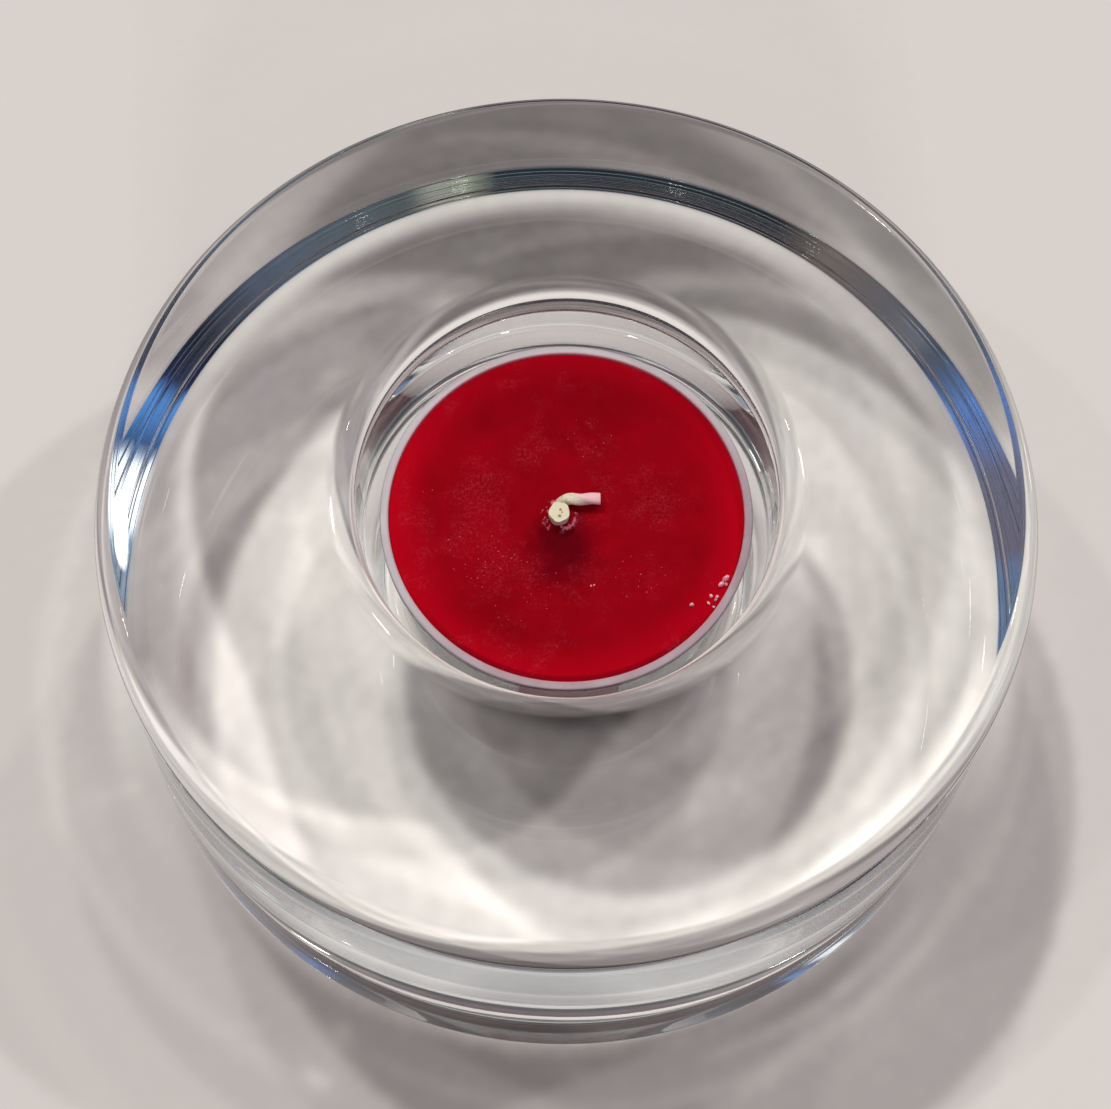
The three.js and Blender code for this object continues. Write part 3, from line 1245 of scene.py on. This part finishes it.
@dataclass
class Wick:
    """The cotton cord: one end stands up, the other lies over to the right."""

    tail_radius: float = 0.66
    tip_y: float = -0.85
    stand: float = 2.1
    straight: float = 5.0
    tail_turn_x: float = -0.5
    tail_turn_y: float = 0.95
    tail_length: float = 4.0
    tail_rise: float = 0.45
    tail_height: float = 1.0
    margin: float = 0.05
    strands: tuple[float, float, float] = (2.5, 5.0, 0.1)
    tail_strands: tuple[float, float, float] = (0.9, 3.0, 0.12)
    foot_z: float = field(default=0.0)

    def __post_init__(self) -> None:
        """Reads the cord's lower end from the frame."""
        self.foot_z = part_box("wick")[0][2] / MM

    def build(self, cords: CordTree, wax_top: float) -> list[bpy.types.Object]:
        """Makes the cord.

        Args:
            cords: the cord tree.
            wax_top: the height of the wax, in millimetres.

        Returns:
            The standing cord and the tail.
        """
        root_x, root_y = WICK_ROOT
        tip = Vector((root_x, self.tip_y, wax_top + self.stand - self.margin))
        cotton = Cotton().build(tip)
        route = [
            (0.0, 0.0, self.foot_z),
            (0.0, 0.0, self.foot_z + self.straight),
            (root_x, root_y, wax_top - 0.5),
            tuple(tip),
        ]
        standing = cords.lay("wick_cord", route, (WICK_RADIUS, *self.strands), cotton)
        turn_x, turn_y, top = self.tail_turn_x, self.tail_turn_y, wax_top + self.tail_height
        route = [
            (root_x, root_y + 0.2, wax_top - self.tail_radius),
            (turn_x, turn_y, wax_top + self.tail_rise),
            (turn_x + self.tail_length / 2, turn_y + self.tail_radius / 4, top),
            (turn_x + self.tail_length - self.margin, turn_y + self.tail_radius / 2, top),
        ]
        tail = cords.lay("wick_tail", route, (self.tail_radius * 0.98, *self.tail_strands), cotton)
        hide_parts("wick")
        for piece in (standing, tail):
            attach(piece, Body.TEALIGHT.value)
        return [standing, tail]


# Lamps and their light.


@dataclass(frozen=True)
class Lamp:
    """One round studio lamp."""

    name: str
    azimuth_deg: float
    elevation_deg: float
    share: float
    colour: Colour = (1.0, 1.0, 1.0)
    width: float = 0.035
    distance: float = 1.2
    glow_deg: float = 0.0

    @property
    def way(self) -> Vector:
        """The direction from the object to the lamp.

        Returns:
            A vector of length 1.
        """
        azimuth, elevation = math.radians(self.azimuth_deg), math.radians(self.elevation_deg)
        flat = math.cos(elevation)
        return Vector((flat * math.cos(azimuth), flat * math.sin(azimuth), math.sin(elevation)))

    @property
    def place(self) -> Vector:
        """The lamp's place in metres."""
        return self.way * self.distance

    @property
    def watts(self) -> float:
        """The power at which a white floor under the lamp shows the lamp's share."""
        return self.share * math.pi**2 * self.distance**2 / math.sin(math.radians(self.elevation_deg))

    def build(self) -> bpy.types.Object:
        """Makes the lamp's light, which no shiny face or glass shows.

        Returns:
            The light's object.
        """
        light = bpy.data.lights.new(self.name, "AREA")
        light.shape = "DISK"
        light.size = self.width
        light.energy = self.watts
        light.color = self.colour
        lamp = add_object(self.name, light)
        lamp.location = self.place
        lamp.rotation_euler = (-self.place).to_track_quat("-Z", "Y").to_euler()
        lamp.visible_glossy = lamp.visible_transmission = False
        return lamp


def between(table: np.ndarray, u: np.ndarray, v: np.ndarray) -> np.ndarray:
    """Reads a table between its points.

    Args:
        table: the values.
        u: places along the first axis, counted in cells.
        v: places along the second axis.

    Returns:
        One value for each place.
    """
    i, j = u.astype(int), v.astype(int)
    du, dv = u - i, v - j
    near = table[i, j] * (1 - dv) + table[i, j + 1] * dv
    far = table[i + 1, j] * (1 - dv) + table[i + 1, j + 1] * dv
    return near * (1 - du) + far * du


class GlassDistance:
    """The distance to the turned block's surface, kept on a fine grid of radius and height."""

    def __init__(self, section: np.ndarray, step: float = 0.15) -> None:
        """Fills the grid.

        Args:
            section: the half section's points in millimetres.
            step: the grid's step.
        """
        self.step = step
        self.low = np.array((-1.0, -3.0))
        radius = np.arange(self.low[0], section[:, 0].max() + 8, step)
        height = np.arange(self.low[1], section[:, 1].max() + 5, step)
        across, up = np.meshgrid(radius, height, indexing="ij")
        spots = np.stack((np.abs(across).ravel(), up.ravel()), 1)
        nearest = np.full(len(spots), np.inf)
        inside = np.zeros(len(spots), dtype=bool)
        for start, end in zip(section[:-1], section[1:]):
            along = end - start
            share = np.clip((spots - start) @ along / (along @ along), 0, 1)
            nearest = np.minimum(nearest, np.linalg.norm(spots - start - share[:, None] * along, axis=1))
        for start, end in zip(section, np.roll(section, -1, axis=0)):
            if start[1] != end[1]:
                crossed = (start[1] > spots[:, 1]) != (end[1] > spots[:, 1])
                where = start[0] + (end[0] - start[0]) * (spots[:, 1] - start[1]) / (end[1] - start[1])
                inside ^= crossed & (spots[:, 0] < where)
        self.table = np.where(inside, -nearest, nearest).reshape(across.shape)
        self.slope = np.gradient(self.table, step)

    def _read(self, table: np.ndarray, places: np.ndarray) -> np.ndarray:
        """Reads a table at points round the axis.

        Args:
            table: values by radius and height.
            places: points in space, in millimetres.

        Returns:
            One value for each point.
        """
        reach = np.hypot(places[:, 0], places[:, 1])
        u = np.clip((reach - self.low[0]) / self.step, 0, table.shape[0] - 1.001)
        v = np.clip((places[:, 2] - self.low[1]) / self.step, 0, table.shape[1] - 1.001)
        return between(table, u, v)

    def distance(self, places: np.ndarray) -> np.ndarray:
        """Returns the distance of each point to the glass, negative inside it."""
        return self._read(self.table, places)

    def normal(self, places: np.ndarray) -> np.ndarray:
        """Finds which way the glass faces.

        Args:
            places: points in space, in millimetres.

        Returns:
            The outward normal at each point.
        """
        reach = np.maximum(np.hypot(places[:, 0], places[:, 1]), 1e-6)
        flat = places[:, :2] * (self._read(self.slope[0], places) / reach)[:, None]
        normal = np.column_stack((flat, self._read(self.slope[1], places)))
        return normal / np.linalg.norm(normal, axis=1)[:, None]


@dataclass
class Beams:
    """Rays on their way: where they are, where they go, what they carry and where they began."""

    place: np.ndarray
    way: np.ndarray
    weight: np.ndarray
    inside: np.ndarray
    home: np.ndarray

    def pick(self, chosen: np.ndarray) -> "Beams":
        """Returns the chosen rays."""
        return Beams(*(part[chosen] for part in vars(self).values()))


@dataclass
class FloorLight:
    """Works out the light on the floor under and round the block.

    A path tracer needs thousands of samples to find light that a small lamp sends through glass. Here
    an even spread of rays goes from each lamp through the block, bends and reflects at its faces, and
    is counted where it meets the floor. What meets the tealight stops there. A turned block lights the
    floor alike on both sides of the line to the lamp, so one side is traced and mirrored, and the map
    is then turned to the lamp's azimuth. The even light of the sky is found the other way round, from
    floor to sky, and is the same all round the axis.
    """

    block: GlassBlock
    tealight_rim: float
    half: float = 108.0
    cell: float = 0.5
    ray_step: float = 0.25
    bounces: int = 9
    marches: int = 150
    touch: float = 0.003
    least_move: float = 0.005
    push: float = 0.03
    least_weight: float = 1e-5
    sky_heights: int = 14
    sky_turns: int = 40
    sky_step: float = 1.5
    strides: tuple[float, float, float] = (0.7548776662466927, 0.5698402909980532, 0.618034)
    foot_glow: float = 0.42
    foot_ring: tuple[float, float, float, float] = (46.5, 51.0, 54.0, 56.5)
    ring_fade: Range = (-22.0, 0.0)
    contrast: float = 1.3
    gain: float = 1.29
    shade_tint: Colour = (0.0, 0.07, 0.03)
    shade_below: float = 0.9

    @property
    def line(self) -> np.ndarray:
        """The middles of a row of cells."""
        return (np.arange(round(2 * self.half / self.cell)) + 0.5) * self.cell - self.half

    def grid(self) -> tuple[np.ndarray, np.ndarray]:
        """Returns the x and the y of each cell's middle."""
        return np.meshgrid(self.line, self.line, indexing="ij")

    def gather(self, lamps: Sequence[Lamp], ambient: float) -> np.ndarray:
        """Adds up all light.

        Args:
            lamps: the lamps.
            ambient: the sky's brightness.

        Returns:
            Red, green and blue for each cell of the floor, as a share of full white.
        """
        glass = GlassDistance(Outline(self.block.corners(), 0.3, 2.0).points)
        total = self._sky(glass)[..., None] * np.full(3, ambient)
        for lamp in lamps:
            light = self._turn(self._soften(self._trace(glass, lamp)), lamp.azimuth_deg)
            total = total + light[..., None] * np.array(lamp.colour) * lamp.share
            LOG.info("light of %s traced, brightest %.2f", lamp.name, float(light.max()))
        return self._grade(total)

    def _grade(self, light: np.ndarray) -> np.ndarray:
        """Adjusts the traced light to what the photograph shows.

        Args:
            light: the traced light.

        Returns:
            The light with more contrast under the block, a bright ring at the far half of the foot, where
            the rounding gathers light from the floor round it, and shade with a touch of purple.
        """
        x, y = self.grid()
        reach = np.hypot(x, y)
        edge = self.block.foot_radius
        under = np.interp(reach, (edge - 1.0, edge + 0.5), (1.0, 0.0))
        light = light + (self.gain * light**self.contrast - light) * under[..., None]
        ring = np.interp(reach, self.foot_ring, (0.0, self.foot_glow, self.foot_glow, 0.0))
        light = light + (ring * np.interp(y, self.ring_fade, (0.0, 1.0)))[..., None]
        shade = np.clip(1.0 - light.mean(-1) / self.shade_below, 0.0, 1.0)
        return light * (1.0 - shade[..., None] * np.array(self.shade_tint))

    @staticmethod
    def _soften(light: np.ndarray) -> np.ndarray:
        """Blurs a map by about one cell each way.

        Args:
            light: the map.

        Returns:
            The blurred map.
        """
        for axis in (0, 1):
            near = np.roll(light, 1, axis) + np.roll(light, -1, axis)
            far = np.roll(light, 2, axis) + np.roll(light, -2, axis)
            light = 0.375 * light + 0.25 * near + 0.0625 * far
        return light

    def _turn(self, light: np.ndarray, azimuth_deg: float) -> np.ndarray:
        """Turns a map about the block's axis.

        Args:
            light: the map for a lamp at azimuth 0.
            azimuth_deg: the lamp's own azimuth.

        Returns:
            The turned map. Places that the first map doesn't hold see the open floor's light.
        """
        cosine, sine = math.cos(math.radians(azimuth_deg)), math.sin(math.radians(azimuth_deg))
        x, y = self.grid()
        u = (x * cosine + y * sine + self.half) / self.cell - 0.5
        v = (y * cosine - x * sine + self.half) / self.cell - 0.5
        last = len(light) - 1.001
        within = (u >= 0) & (v >= 0) & (u < last) & (v < last)
        return np.where(within, between(light, np.where(within, u, 0), np.where(within, v, 0)), 1.0)

    def _sky(self, glass: GlassDistance) -> np.ndarray:
        """Finds how much of the sky each cell sees.

        Args:
            glass: the distance to the block.

        Returns:
            The share for each cell.
        """
        reach = np.arange(0.5, self.half * 1.45, self.sky_step)
        lifts = (np.arange(self.sky_heights) + 0.5) / self.sky_heights
        swings = (np.arange(self.sky_turns) + 0.5) / self.sky_turns * math.tau
        lift, swing = (part.ravel() for part in np.meshgrid(lifts, swings))
        flat = np.sqrt(1 - lift)
        way = np.stack((flat * np.cos(swing), flat * np.sin(swing), np.sqrt(lift)), 1)
        count = len(way)
        place = np.zeros((len(reach) * count, 3))
        place[:, 0] = np.repeat(reach, count)
        place[:, 2] = 0.02
        beams = Beams(
            place,
            np.tile(way, (len(reach), 1)),
            np.full(len(place), 1.0 / count),
            glass.distance(place) < 0,
            np.repeat(np.arange(len(reach)), count),
        )
        self._enter_from_below(beams)
        seen = np.zeros(len(reach))

        def keep(landed: Beams, escaped: Beams) -> None:
            """Counts the rays that reach the sky."""
            np.add.at(seen, escaped.home, escaped.weight)

        self._follow(glass, beams, keep)
        return np.interp(np.hypot(*self.grid()), reach, seen)

    def _enter_from_below(self, beams: Beams) -> None:
        """Bends the rays that start right under the block, as its flat underside does.

        Args:
            beams: the rays, of which those inside the glass change their way.
        """
        flat = beams.inside
        beams.way[flat, :2] /= GLASS_REFRACTION
        beams.way[flat, 2] = np.sqrt(1 - np.linalg.norm(beams.way[flat, :2], axis=1) ** 2)

    def _trace(self, glass: GlassDistance, lamp: Lamp) -> np.ndarray:
        """Follows the rays of a lamp as if it stood at azimuth 0.

        Args:
            glass: the distance to the block.
            lamp: the lamp.

        Returns:
            The light on each cell as a share of the open floor's.
        """
        line = self.line
        cells = len(line)
        elevation = math.radians(lamp.elevation_deg)
        source = np.array((math.cos(elevation), 0.0, math.sin(elevation))) * lamp.distance / MM
        slide = -source[0] / source[2] * (self.block.height + 2)
        reach = self.block.foot_radius + 3
        low = max(math.floor((slide - reach) / self.cell) * self.cell, -self.half)
        high = math.ceil(reach / self.cell) * self.cell
        count = round((high - low) * high / self.ray_step**2)
        order = np.arange(count) + 0.5
        across = order * self.strides[0] % 1.0 * (high - low) + low
        beside = order * self.strides[1] % 1.0 * high
        aim = np.stack((across, beside, np.zeros(count)), 1)
        turn = order * math.pi * (3 - math.sqrt(5))
        spread = np.sqrt(order * self.strides[2] % 1.0) * lamp.width / MM / 2
        start = source + np.stack((np.zeros(count), spread * np.cos(turn), spread * np.sin(turn)), 1)
        way = aim - start
        way /= np.linalg.norm(way, axis=1)[:, None]
        place = start + way * ((self.block.height + 1.0 - start[:, 2]) / way[:, 2])[:, None]
        weight = np.full(count, (high - low) * high / count / self.cell**2)
        light = np.zeros(cells * cells)

        def keep(landed: Beams, escaped: Beams) -> None:
            """Shares the rays that land among the four nearest cells.

            Args:
                landed: the rays that reached the floor.
                escaped: those that left upwards, which light no cell; not used.
            """
            spot = (landed.place[:, :2] + self.half) / self.cell - 0.5
            corner = np.floor(spot).astype(int)
            part = spot - corner
            good = ((corner >= 0) & (corner < cells - 1)).all(1)
            for i, j in ((0, 0), (0, 1), (1, 0), (1, 1)):
                share = np.abs(1 - i - part[good, 0]) * np.abs(1 - j - part[good, 1])
                cell = (corner[good, 0] + i) * cells + corner[good, 1] + j
                light[:] += np.bincount(cell, share * landed.weight[good], cells * cells)

        self._follow(
            glass, Beams(place, way, weight, np.zeros(count, dtype=bool), np.arange(count)), keep
        )
        light = light.reshape(cells, cells)
        across = self._aimed(line - low) * self._aimed(high - line)
        beside = self._aimed(high - np.abs(line))
        return light + light[:, ::-1] + 1.0 - across[:, None] * beside

    def _aimed(self, inside: np.ndarray) -> np.ndarray:
        """Gives how much of a cell's open light the aimed rays bring.

        Args:
            inside: how far each cell's middle lies within the aimed patch's edge.

        Returns:
            A share from 0 to 1, with the same soft step that sharing among cells gives.
        """
        step = np.clip(inside / self.cell, -1, 1)
        return np.where(step < 0, (1 + step) ** 2 / 2, 1 - (1 - step) ** 2 / 2)

    def _follow(self, glass: GlassDistance, beams: Beams, keep: Callable[[Beams, Beams], None]) -> None:
        """Moves rays through the block until they land, escape or stop at the tealight.

        Args:
            glass: the distance to the block.
            beams: the rays.
            keep: gets the rays that landed and those that escaped at each step.
        """
        for _ in range(self.bounces):
            met = self._march(glass, beams)
            landed = ~met & (beams.place[:, 2] < 0.01) & (beams.way[:, 2] < 0)
            keep(beams.pick(landed), beams.pick(~met & (beams.way[:, 2] > 0)))
            beams = beams.pick(met)
            if not len(beams.place):
                return
            came_through_air = ~beams.inside
            self._bend(glass.normal(beams.place), beams)
            beams.place += beams.way * self.push
            reach = np.hypot(beams.place[:, 0], beams.place[:, 1])
            low = (beams.place[:, 2] > 1) & (beams.place[:, 2] < self.tealight_rim)
            near = low & (reach < self.block.recess_mouth + 1)
            in_recess = near & (came_through_air | ~beams.inside)
            beams = beams.pick(~in_recess & (beams.weight > self.least_weight))

    def _march(self, glass: GlassDistance, beams: Beams) -> np.ndarray:
        """Steps rays to the next face, the floor or out of reach.

        Args:
            glass: the distance to the block.
            beams: the rays, whose places move.

        Returns:
            Which rays met a face.
        """
        met = np.zeros(len(beams.place), dtype=bool)
        moving = np.arange(len(beams.place))
        for _ in range(self.marches):
            here, way, inside = beams.place[moving], beams.way[moving], beams.inside[moving]
            gap = glass.distance(here) * np.where(inside, -1, 1)
            on_floor = ~inside & (here[:, 2] <= 1e-3) & (way[:, 2] < 0)
            away = ~inside & (here[:, 2] > self.block.height + 3) & (way[:, 2] > 0)
            away |= np.abs(here[:, :2]).max(1) > self.half * 1.6
            touched = (gap < self.touch) & ~on_floor & ~away
            met[moving[touched]] = True
            go = ~(touched | on_floor | away)
            moving, here, way, gap, inside = moving[go], here[go], way[go], gap[go], inside[go]
            if not len(moving):
                break
            down = ~inside & (way[:, 2] < 0)
            to_floor = np.where(down, -here[:, 2] / np.minimum(way[:, 2], -1e-9), np.inf)
            move = np.minimum(np.maximum(gap, self.least_move), to_floor + 1e-4)
            beams.place[moving] = here + way * move[:, None]
        return met

    def _bend(self, normal: np.ndarray, beams: Beams) -> None:
        """Refracts rays at a face, or reflects those that can't leave the glass.

        Args:
            normal: outward normals.
            beams: the rays, which change their way, weight and side.
        """
        inside = beams.inside
        normal = np.where(inside[:, None], -normal, normal)
        cosine = np.clip(-np.einsum("ij,ij->i", beams.way, normal), 0, 1)
        ratio = np.where(inside, GLASS_REFRACTION, 1 / GLASS_REFRACTION)
        rest = 1 - ratio**2 * (1 - cosine**2)
        caught = rest <= 0
        through = np.sqrt(np.maximum(rest, 0))
        one = (ratio * cosine - through) / (ratio * cosine + through + 1e-12)
        two = (ratio * through - cosine) / (ratio * through + cosine + 1e-12)
        passed = np.where(caught, 1.0, 1 - (one**2 + two**2) / 2)
        reflected = beams.way + 2 * cosine[:, None] * normal
        refracted = ratio[:, None] * beams.way + (ratio * cosine - through)[:, None] * normal
        way = np.where(caught[:, None], reflected, refracted)
        beams.way = way / np.linalg.norm(way, axis=1)[:, None]
        beams.weight = beams.weight * passed
        beams.inside = np.where(caught, inside, ~inside)


# The studio.


@dataclass
class Studio:
    """Floor, lamps and surroundings.

    The walls' colours go round by azimuth, from the left through the viewer's side, and the ceiling's
    go by the sine of the elevation. Only the glass and other shiny faces see them.
    """

    floor_tint: Colour = (0.635, 0.592, 0.578)
    # Painted shade of the floor far out, which only rays other than camera rays see.
    far_floor_shade: Colour = (0.085, 0.07, 0.095)
    far_from: Range = (56.0, 59.0)
    floor_gap: float = 0.05
    floor_radius: float = 0.7
    floor_steps: int = 96
    ambient: float = 0.03
    backdrop: Colour = (0.68, 0.65, 0.64)
    glow: float = 30.0
    ceiling_from: Range = (0.69, 0.79)
    streak: Grain = (1000.0, 2.0, 0.5)
    streak_rows: Range = (90.0, 6.0)
    streaks: Range = (0.55, 0.9)
    walls: tuple[Stop, ...] = (
        (0.0, (0.15, 0.14, 0.2)),
        (0.03, (0.15, 0.15, 0.22)),
        (0.055, (0.1, 0.22, 0.55)),
        (0.08, (0.06, 0.08, 0.12)),
        (0.14, (0.16, 0.13, 0.11)),
        (0.165, (0.012, 0.02, 0.022)),
        (0.285, (0.01, 0.028, 0.035)),
        (0.298, (0.3, 0.33, 0.24)),
        (0.312, (0.32, 0.33, 0.28)),
        (0.322, (0.06, 0.09, 0.09)),
        (0.38, (0.09, 0.12, 0.17)),
        (0.425, (0.01, 0.014, 0.022)),
        (0.445, (0.012, 0.02, 0.06)),
        (0.455, (0.1, 0.3, 0.75)),
        (0.475, (0.03, 0.1, 0.25)),
        (0.484, (1.5, 1.62, 1.72)),
        (0.502, (1.5, 1.62, 1.72)),
        (0.512, (0.2, 0.33, 0.5)),
        (0.55, (0.33, 0.32, 0.32)),
        (0.68, (0.36, 0.35, 0.35)),
        (0.72, (0.13, 0.095, 0.12)),
        (0.78, (0.13, 0.095, 0.12)),
        (0.82, (0.36, 0.35, 0.35)),
        (0.95, (0.36, 0.35, 0.35)),
        (0.962, (0.13, 0.2, 0.34)),
        (0.992, (0.13, 0.2, 0.34)),
        (1.0, (0.15, 0.14, 0.2)),
    )
    ceiling: tuple[Stop, ...] = (
        (0.0, (0.3, 0.29, 0.28)),
        (0.82, (0.03, 0.045, 0.055)),
        (0.93, (0.07, 0.075, 0.08)),
        (0.97, (0.5, 0.49, 0.48)),
        (0.98, (0.9, 0.89, 0.86)),
        (0.9885, (0.95, 0.94, 0.91)),
        (0.9893, (0.38, 0.4, 0.54)),
        (0.9902, (0.8, 0.7, 0.66)),
        (0.991, (0.85, 0.8, 0.77)),
        (0.9925, (0.36, 0.33, 0.36)),
        (1.0, (0.33, 0.32, 0.34)),
    )
    lamps: tuple[Lamp, ...] = (
        Lamp("lamp_main", 126.0, 63.6, 0.27, (1.0, 1.0, 0.95), glow_deg=1.5),
        Lamp("lamp_right", 24.5, 51.6, 0.135, (1.0, 0.96, 0.955), 0.022, glow_deg=1.4),
        Lamp("lamp_far_high", 112.5, 59.0, 0.125, (1.0, 1.0, 0.95)),
        Lamp("lamp_high_right", 59.5, 66.8, 0.11, (1.0, 0.98, 0.98)),
        Lamp("lamp_high_near", 262.5, 74.5, 0.1, (1.0, 0.99, 0.97)),
        Lamp("lamp_low_near", 276.0, 30.0, 0.07, (1.0, 0.99, 0.97), 0.25),
        Lamp("lamp_left", 153.5, 59.0, 0.085, (0.96, 1.0, 0.97), 0.022, glow_deg=1.2),
        Lamp("lamp_far", 65.5, 39.4, 0.07, (1.0, 0.99, 0.95), glow_deg=2.0),
        Lamp("lamp_near", 295.0, 60.8, 0.05, (1.0, 0.99, 0.97)),
        Lamp("lamp_left_near", 191.0, 57.8, 0.045, (1.0, 0.99, 0.95)),
    )
    fill: float = 0.08

    def build(self, floor_light: FloorLight) -> None:
        """Makes the whole studio.

        Args:
            floor_light: traces the lamps' light on the floor.
        """
        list(self._build_floor(floor_light))
        for lamp in self.lamps:
            lamp.build()
        self._build_world()

    def _floor_material(self, name: str, mapped: bool) -> bpy.types.Material:
        """Makes the floor's material, which shows the light that the script has worked out.

        Args:
            name: its name.
            mapped: whether the light comes from the mesh's colours or is the open floor's.

        Returns:
            The material.
        """
        material, book = new_material(name)
        if mapped:
            light = book.add("ShaderNodeAttribute", {"attribute_name": "floor_light"}, {}, "Color")
        else:
            parts = (sum(lamp.share * lamp.colour[part] for lamp in self.lamps) for part in range(3))
            light = tuple(self.ambient + part for part in parts)
        colour = book.mix(1.0, self.floor_tint, light, "MULTIPLY")
        # Painted shade: beyond the foot, rays that come through the glass or by reflection see the floor
        # dark.
        x, y, _ = book.axes_mm(book.place())
        camera = book.add("ShaderNodeLightPath", {}, {}, "Is Camera Ray")
        far_floor_shade_mask = length(x, y).step(*self.far_from) * (1.0 - camera)
        colour = book.mix(far_floor_shade_mask, colour, self.far_floor_shade)
        book.surface(book.add("ShaderNodeEmission", {}, {"Color": colour, "Strength": 1.0}))
        material.cycles.emission_sampling = "NONE"
        return material

    def _build_floor(self, floor_light: FloorLight) -> list[bpy.types.Object]:
        """Makes the wide floor and the patch under the object that shows the traced light.

        Args:
            floor_light: traces the lamps' light.

        Returns:
            Both objects.
        """
        wide = bpy.data.meshes.new("floor")
        low = -(self.floor_gap + 0.05) * MM
        radius, count = self.floor_radius, self.floor_steps
        turns = [math.tau * step / count for step in range(count)]
        edge = [(radius * math.cos(turn), radius * math.sin(turn), low) for turn in turns]
        wide.from_pydata(edge, [], [tuple(range(count))])
        wide.materials.append(self._floor_material("floor_open", False))
        light = floor_light.gather(self.lamps, self.ambient)
        cells = len(light)
        x, y = floor_light.grid()
        places = np.stack((x, y, np.full_like(x, -self.floor_gap)), -1).reshape(-1, 3) * MM
        corner = (np.arange(cells - 1)[:, None] * cells + np.arange(cells - 1)).ravel()
        faces = np.stack((corner, corner + cells, corner + cells + 1, corner + 1), 1)
        patch = bpy.data.meshes.new("floor_patch")
        patch.from_pydata(places.tolist(), [], faces.tolist())
        layer = patch.color_attributes.new("floor_light", "FLOAT_COLOR", "POINT")
        layer.data.foreach_set("color", np.concatenate((light, np.ones((cells, cells, 1))), 2).ravel())
        patch.materials.append(self._floor_material("floor_lit", True))
        return [add_object(mesh.name, mesh) for mesh in (wide, patch)]

    def _build_world(self) -> None:
        """Makes the surroundings: even soft light, a pale backdrop, and a room for the glass to show."""
        world = bpy.data.worlds.new("studio")
        bpy.context.scene.world = world
        world.use_nodes = True
        book = NodeBook(world.node_tree)
        way = book.add("ShaderNodeTexCoord", {}, {}, "Generated")
        across, away, up = book.axes(way)
        turn = book.maths("ARCTAN2", away, across) / math.tau + 0.5
        rows = {0: turn * self.streak_rows[0], 1: up * self.streak_rows[1]}
        place = book.add("ShaderNodeCombineXYZ", {}, rows)
        streak = book.noise(place, *self.streak).spread(*self.streaks)
        walls = book.mix(1.0, book.ramp(turn, self.walls), streak, "MULTIPLY")
        room = book.mix(up.step(*self.ceiling_from), walls, book.ramp(up, self.ceiling))
        for lamp in self.lamps:
            if lamp.glow_deg:
                both = {0: way, 1: tuple(lamp.way)}
                facing = book.add("ShaderNodeVectorMath", {"operation": "DOT_PRODUCT"}, both, "Value")
                edge, full = (math.cos(math.radians(lamp.glow_deg * part)) for part in (1.0, 0.7))
                glow = facing.step(edge, full)
                room = book.mix(glow, room, tuple(self.glow * part for part in lamp.colour))
        rays = book.node("ShaderNodeLightPath", {}, {}).outputs
        camera, glossy, through = (
            Signal(book, rays[f"Is {kind} Ray"]) for kind in ("Camera", "Glossy", "Transmission")
        )
        seen = book.mix((glossy + through).smaller(1.0), (self.fill,) * 3, room)
        shown = {0: book.mix(camera, seen, self.backdrop), 1: 1.0}
        book.node("ShaderNodeOutputWorld", {}, {0: book.add("ShaderNodeBackground", {}, shown)})


@dataclass(frozen=True)
class Viewpoint:
    """The camera, as found from the photograph's outlines."""

    distance: float = 220.4
    elevation_deg: float = 70.39
    roll_deg: float = 2.44
    focal_px: float = 1800.0
    aim_x_px: float = 564.7
    aim_y_px: float = 622.8

    def build(self) -> bpy.types.Object:
        """Makes the camera, turned so that the frame's origin lands on the aim pixel.

        Returns:
            The camera's object.
        """
        elevation = math.radians(self.elevation_deg)
        place = Vector((0.0, -math.cos(elevation), math.sin(elevation))) * self.distance * MM
        forward = -place.normalized()
        right = Vector((1.0, 0.0, 0.0))
        up = right.cross(forward)
        swing = math.atan2(self.aim_x_px - IMAGE_WIDTH / 2, self.focal_px)
        nod = math.atan2(self.aim_y_px - IMAGE_HEIGHT / 2, self.focal_px)
        turn = Matrix.Rotation(swing, 3, up)
        forward, right = turn @ forward, turn @ right
        turn = Matrix.Rotation(nod, 3, right)
        forward, up = turn @ forward, turn @ up
        turn = Matrix.Rotation(-math.radians(self.roll_deg), 3, forward)
        right, up = turn @ right, turn @ up
        camera = bpy.data.cameras.new("camera")
        camera.lens = self.focal_px * camera.sensor_width / IMAGE_WIDTH
        camera.clip_start = MM
        eye = add_object("camera", camera)
        axes = Matrix((right, up, -forward)).transposed().to_4x4()
        eye.matrix_world = Matrix.Translation(place) @ axes
        bpy.context.scene.camera = eye
        return eye


def main() -> None:
    """Builds every piece, then the studio and the camera."""
    logging.basicConfig(level=logging.INFO, format="%(message)s")
    scene = bpy.context.scene
    scene.view_settings.view_transform = "Standard"
    for name, count in BOUNCES.items():
        setattr(scene.cycles, name, count)
    turning = TurningTree()
    block = GlassBlock()
    LOG.info("block: %s", block.build(turning).name)
    tealight = Tealight()
    LOG.info("cup: %s", tealight.build_cup(turning).name)
    LOG.info("wax: %s", tealight.build_wax(turning).name)
    crumbs = Crumbs().build(tealight, CrumbTree())
    LOG.info("crumbs: %s, %d faces", crumbs.name, len(crumbs.data.polygons))
    for piece in Wick().build(CordTree(), tealight.wax_top):
        LOG.info("wick: %s", piece.name)
    LOG.info("sustainer: %s", dress_sustainer().name)
    Studio().build(FloorLight(block, tealight.rim))
    Viewpoint().build()


if __name__ == "__main__":
    main()
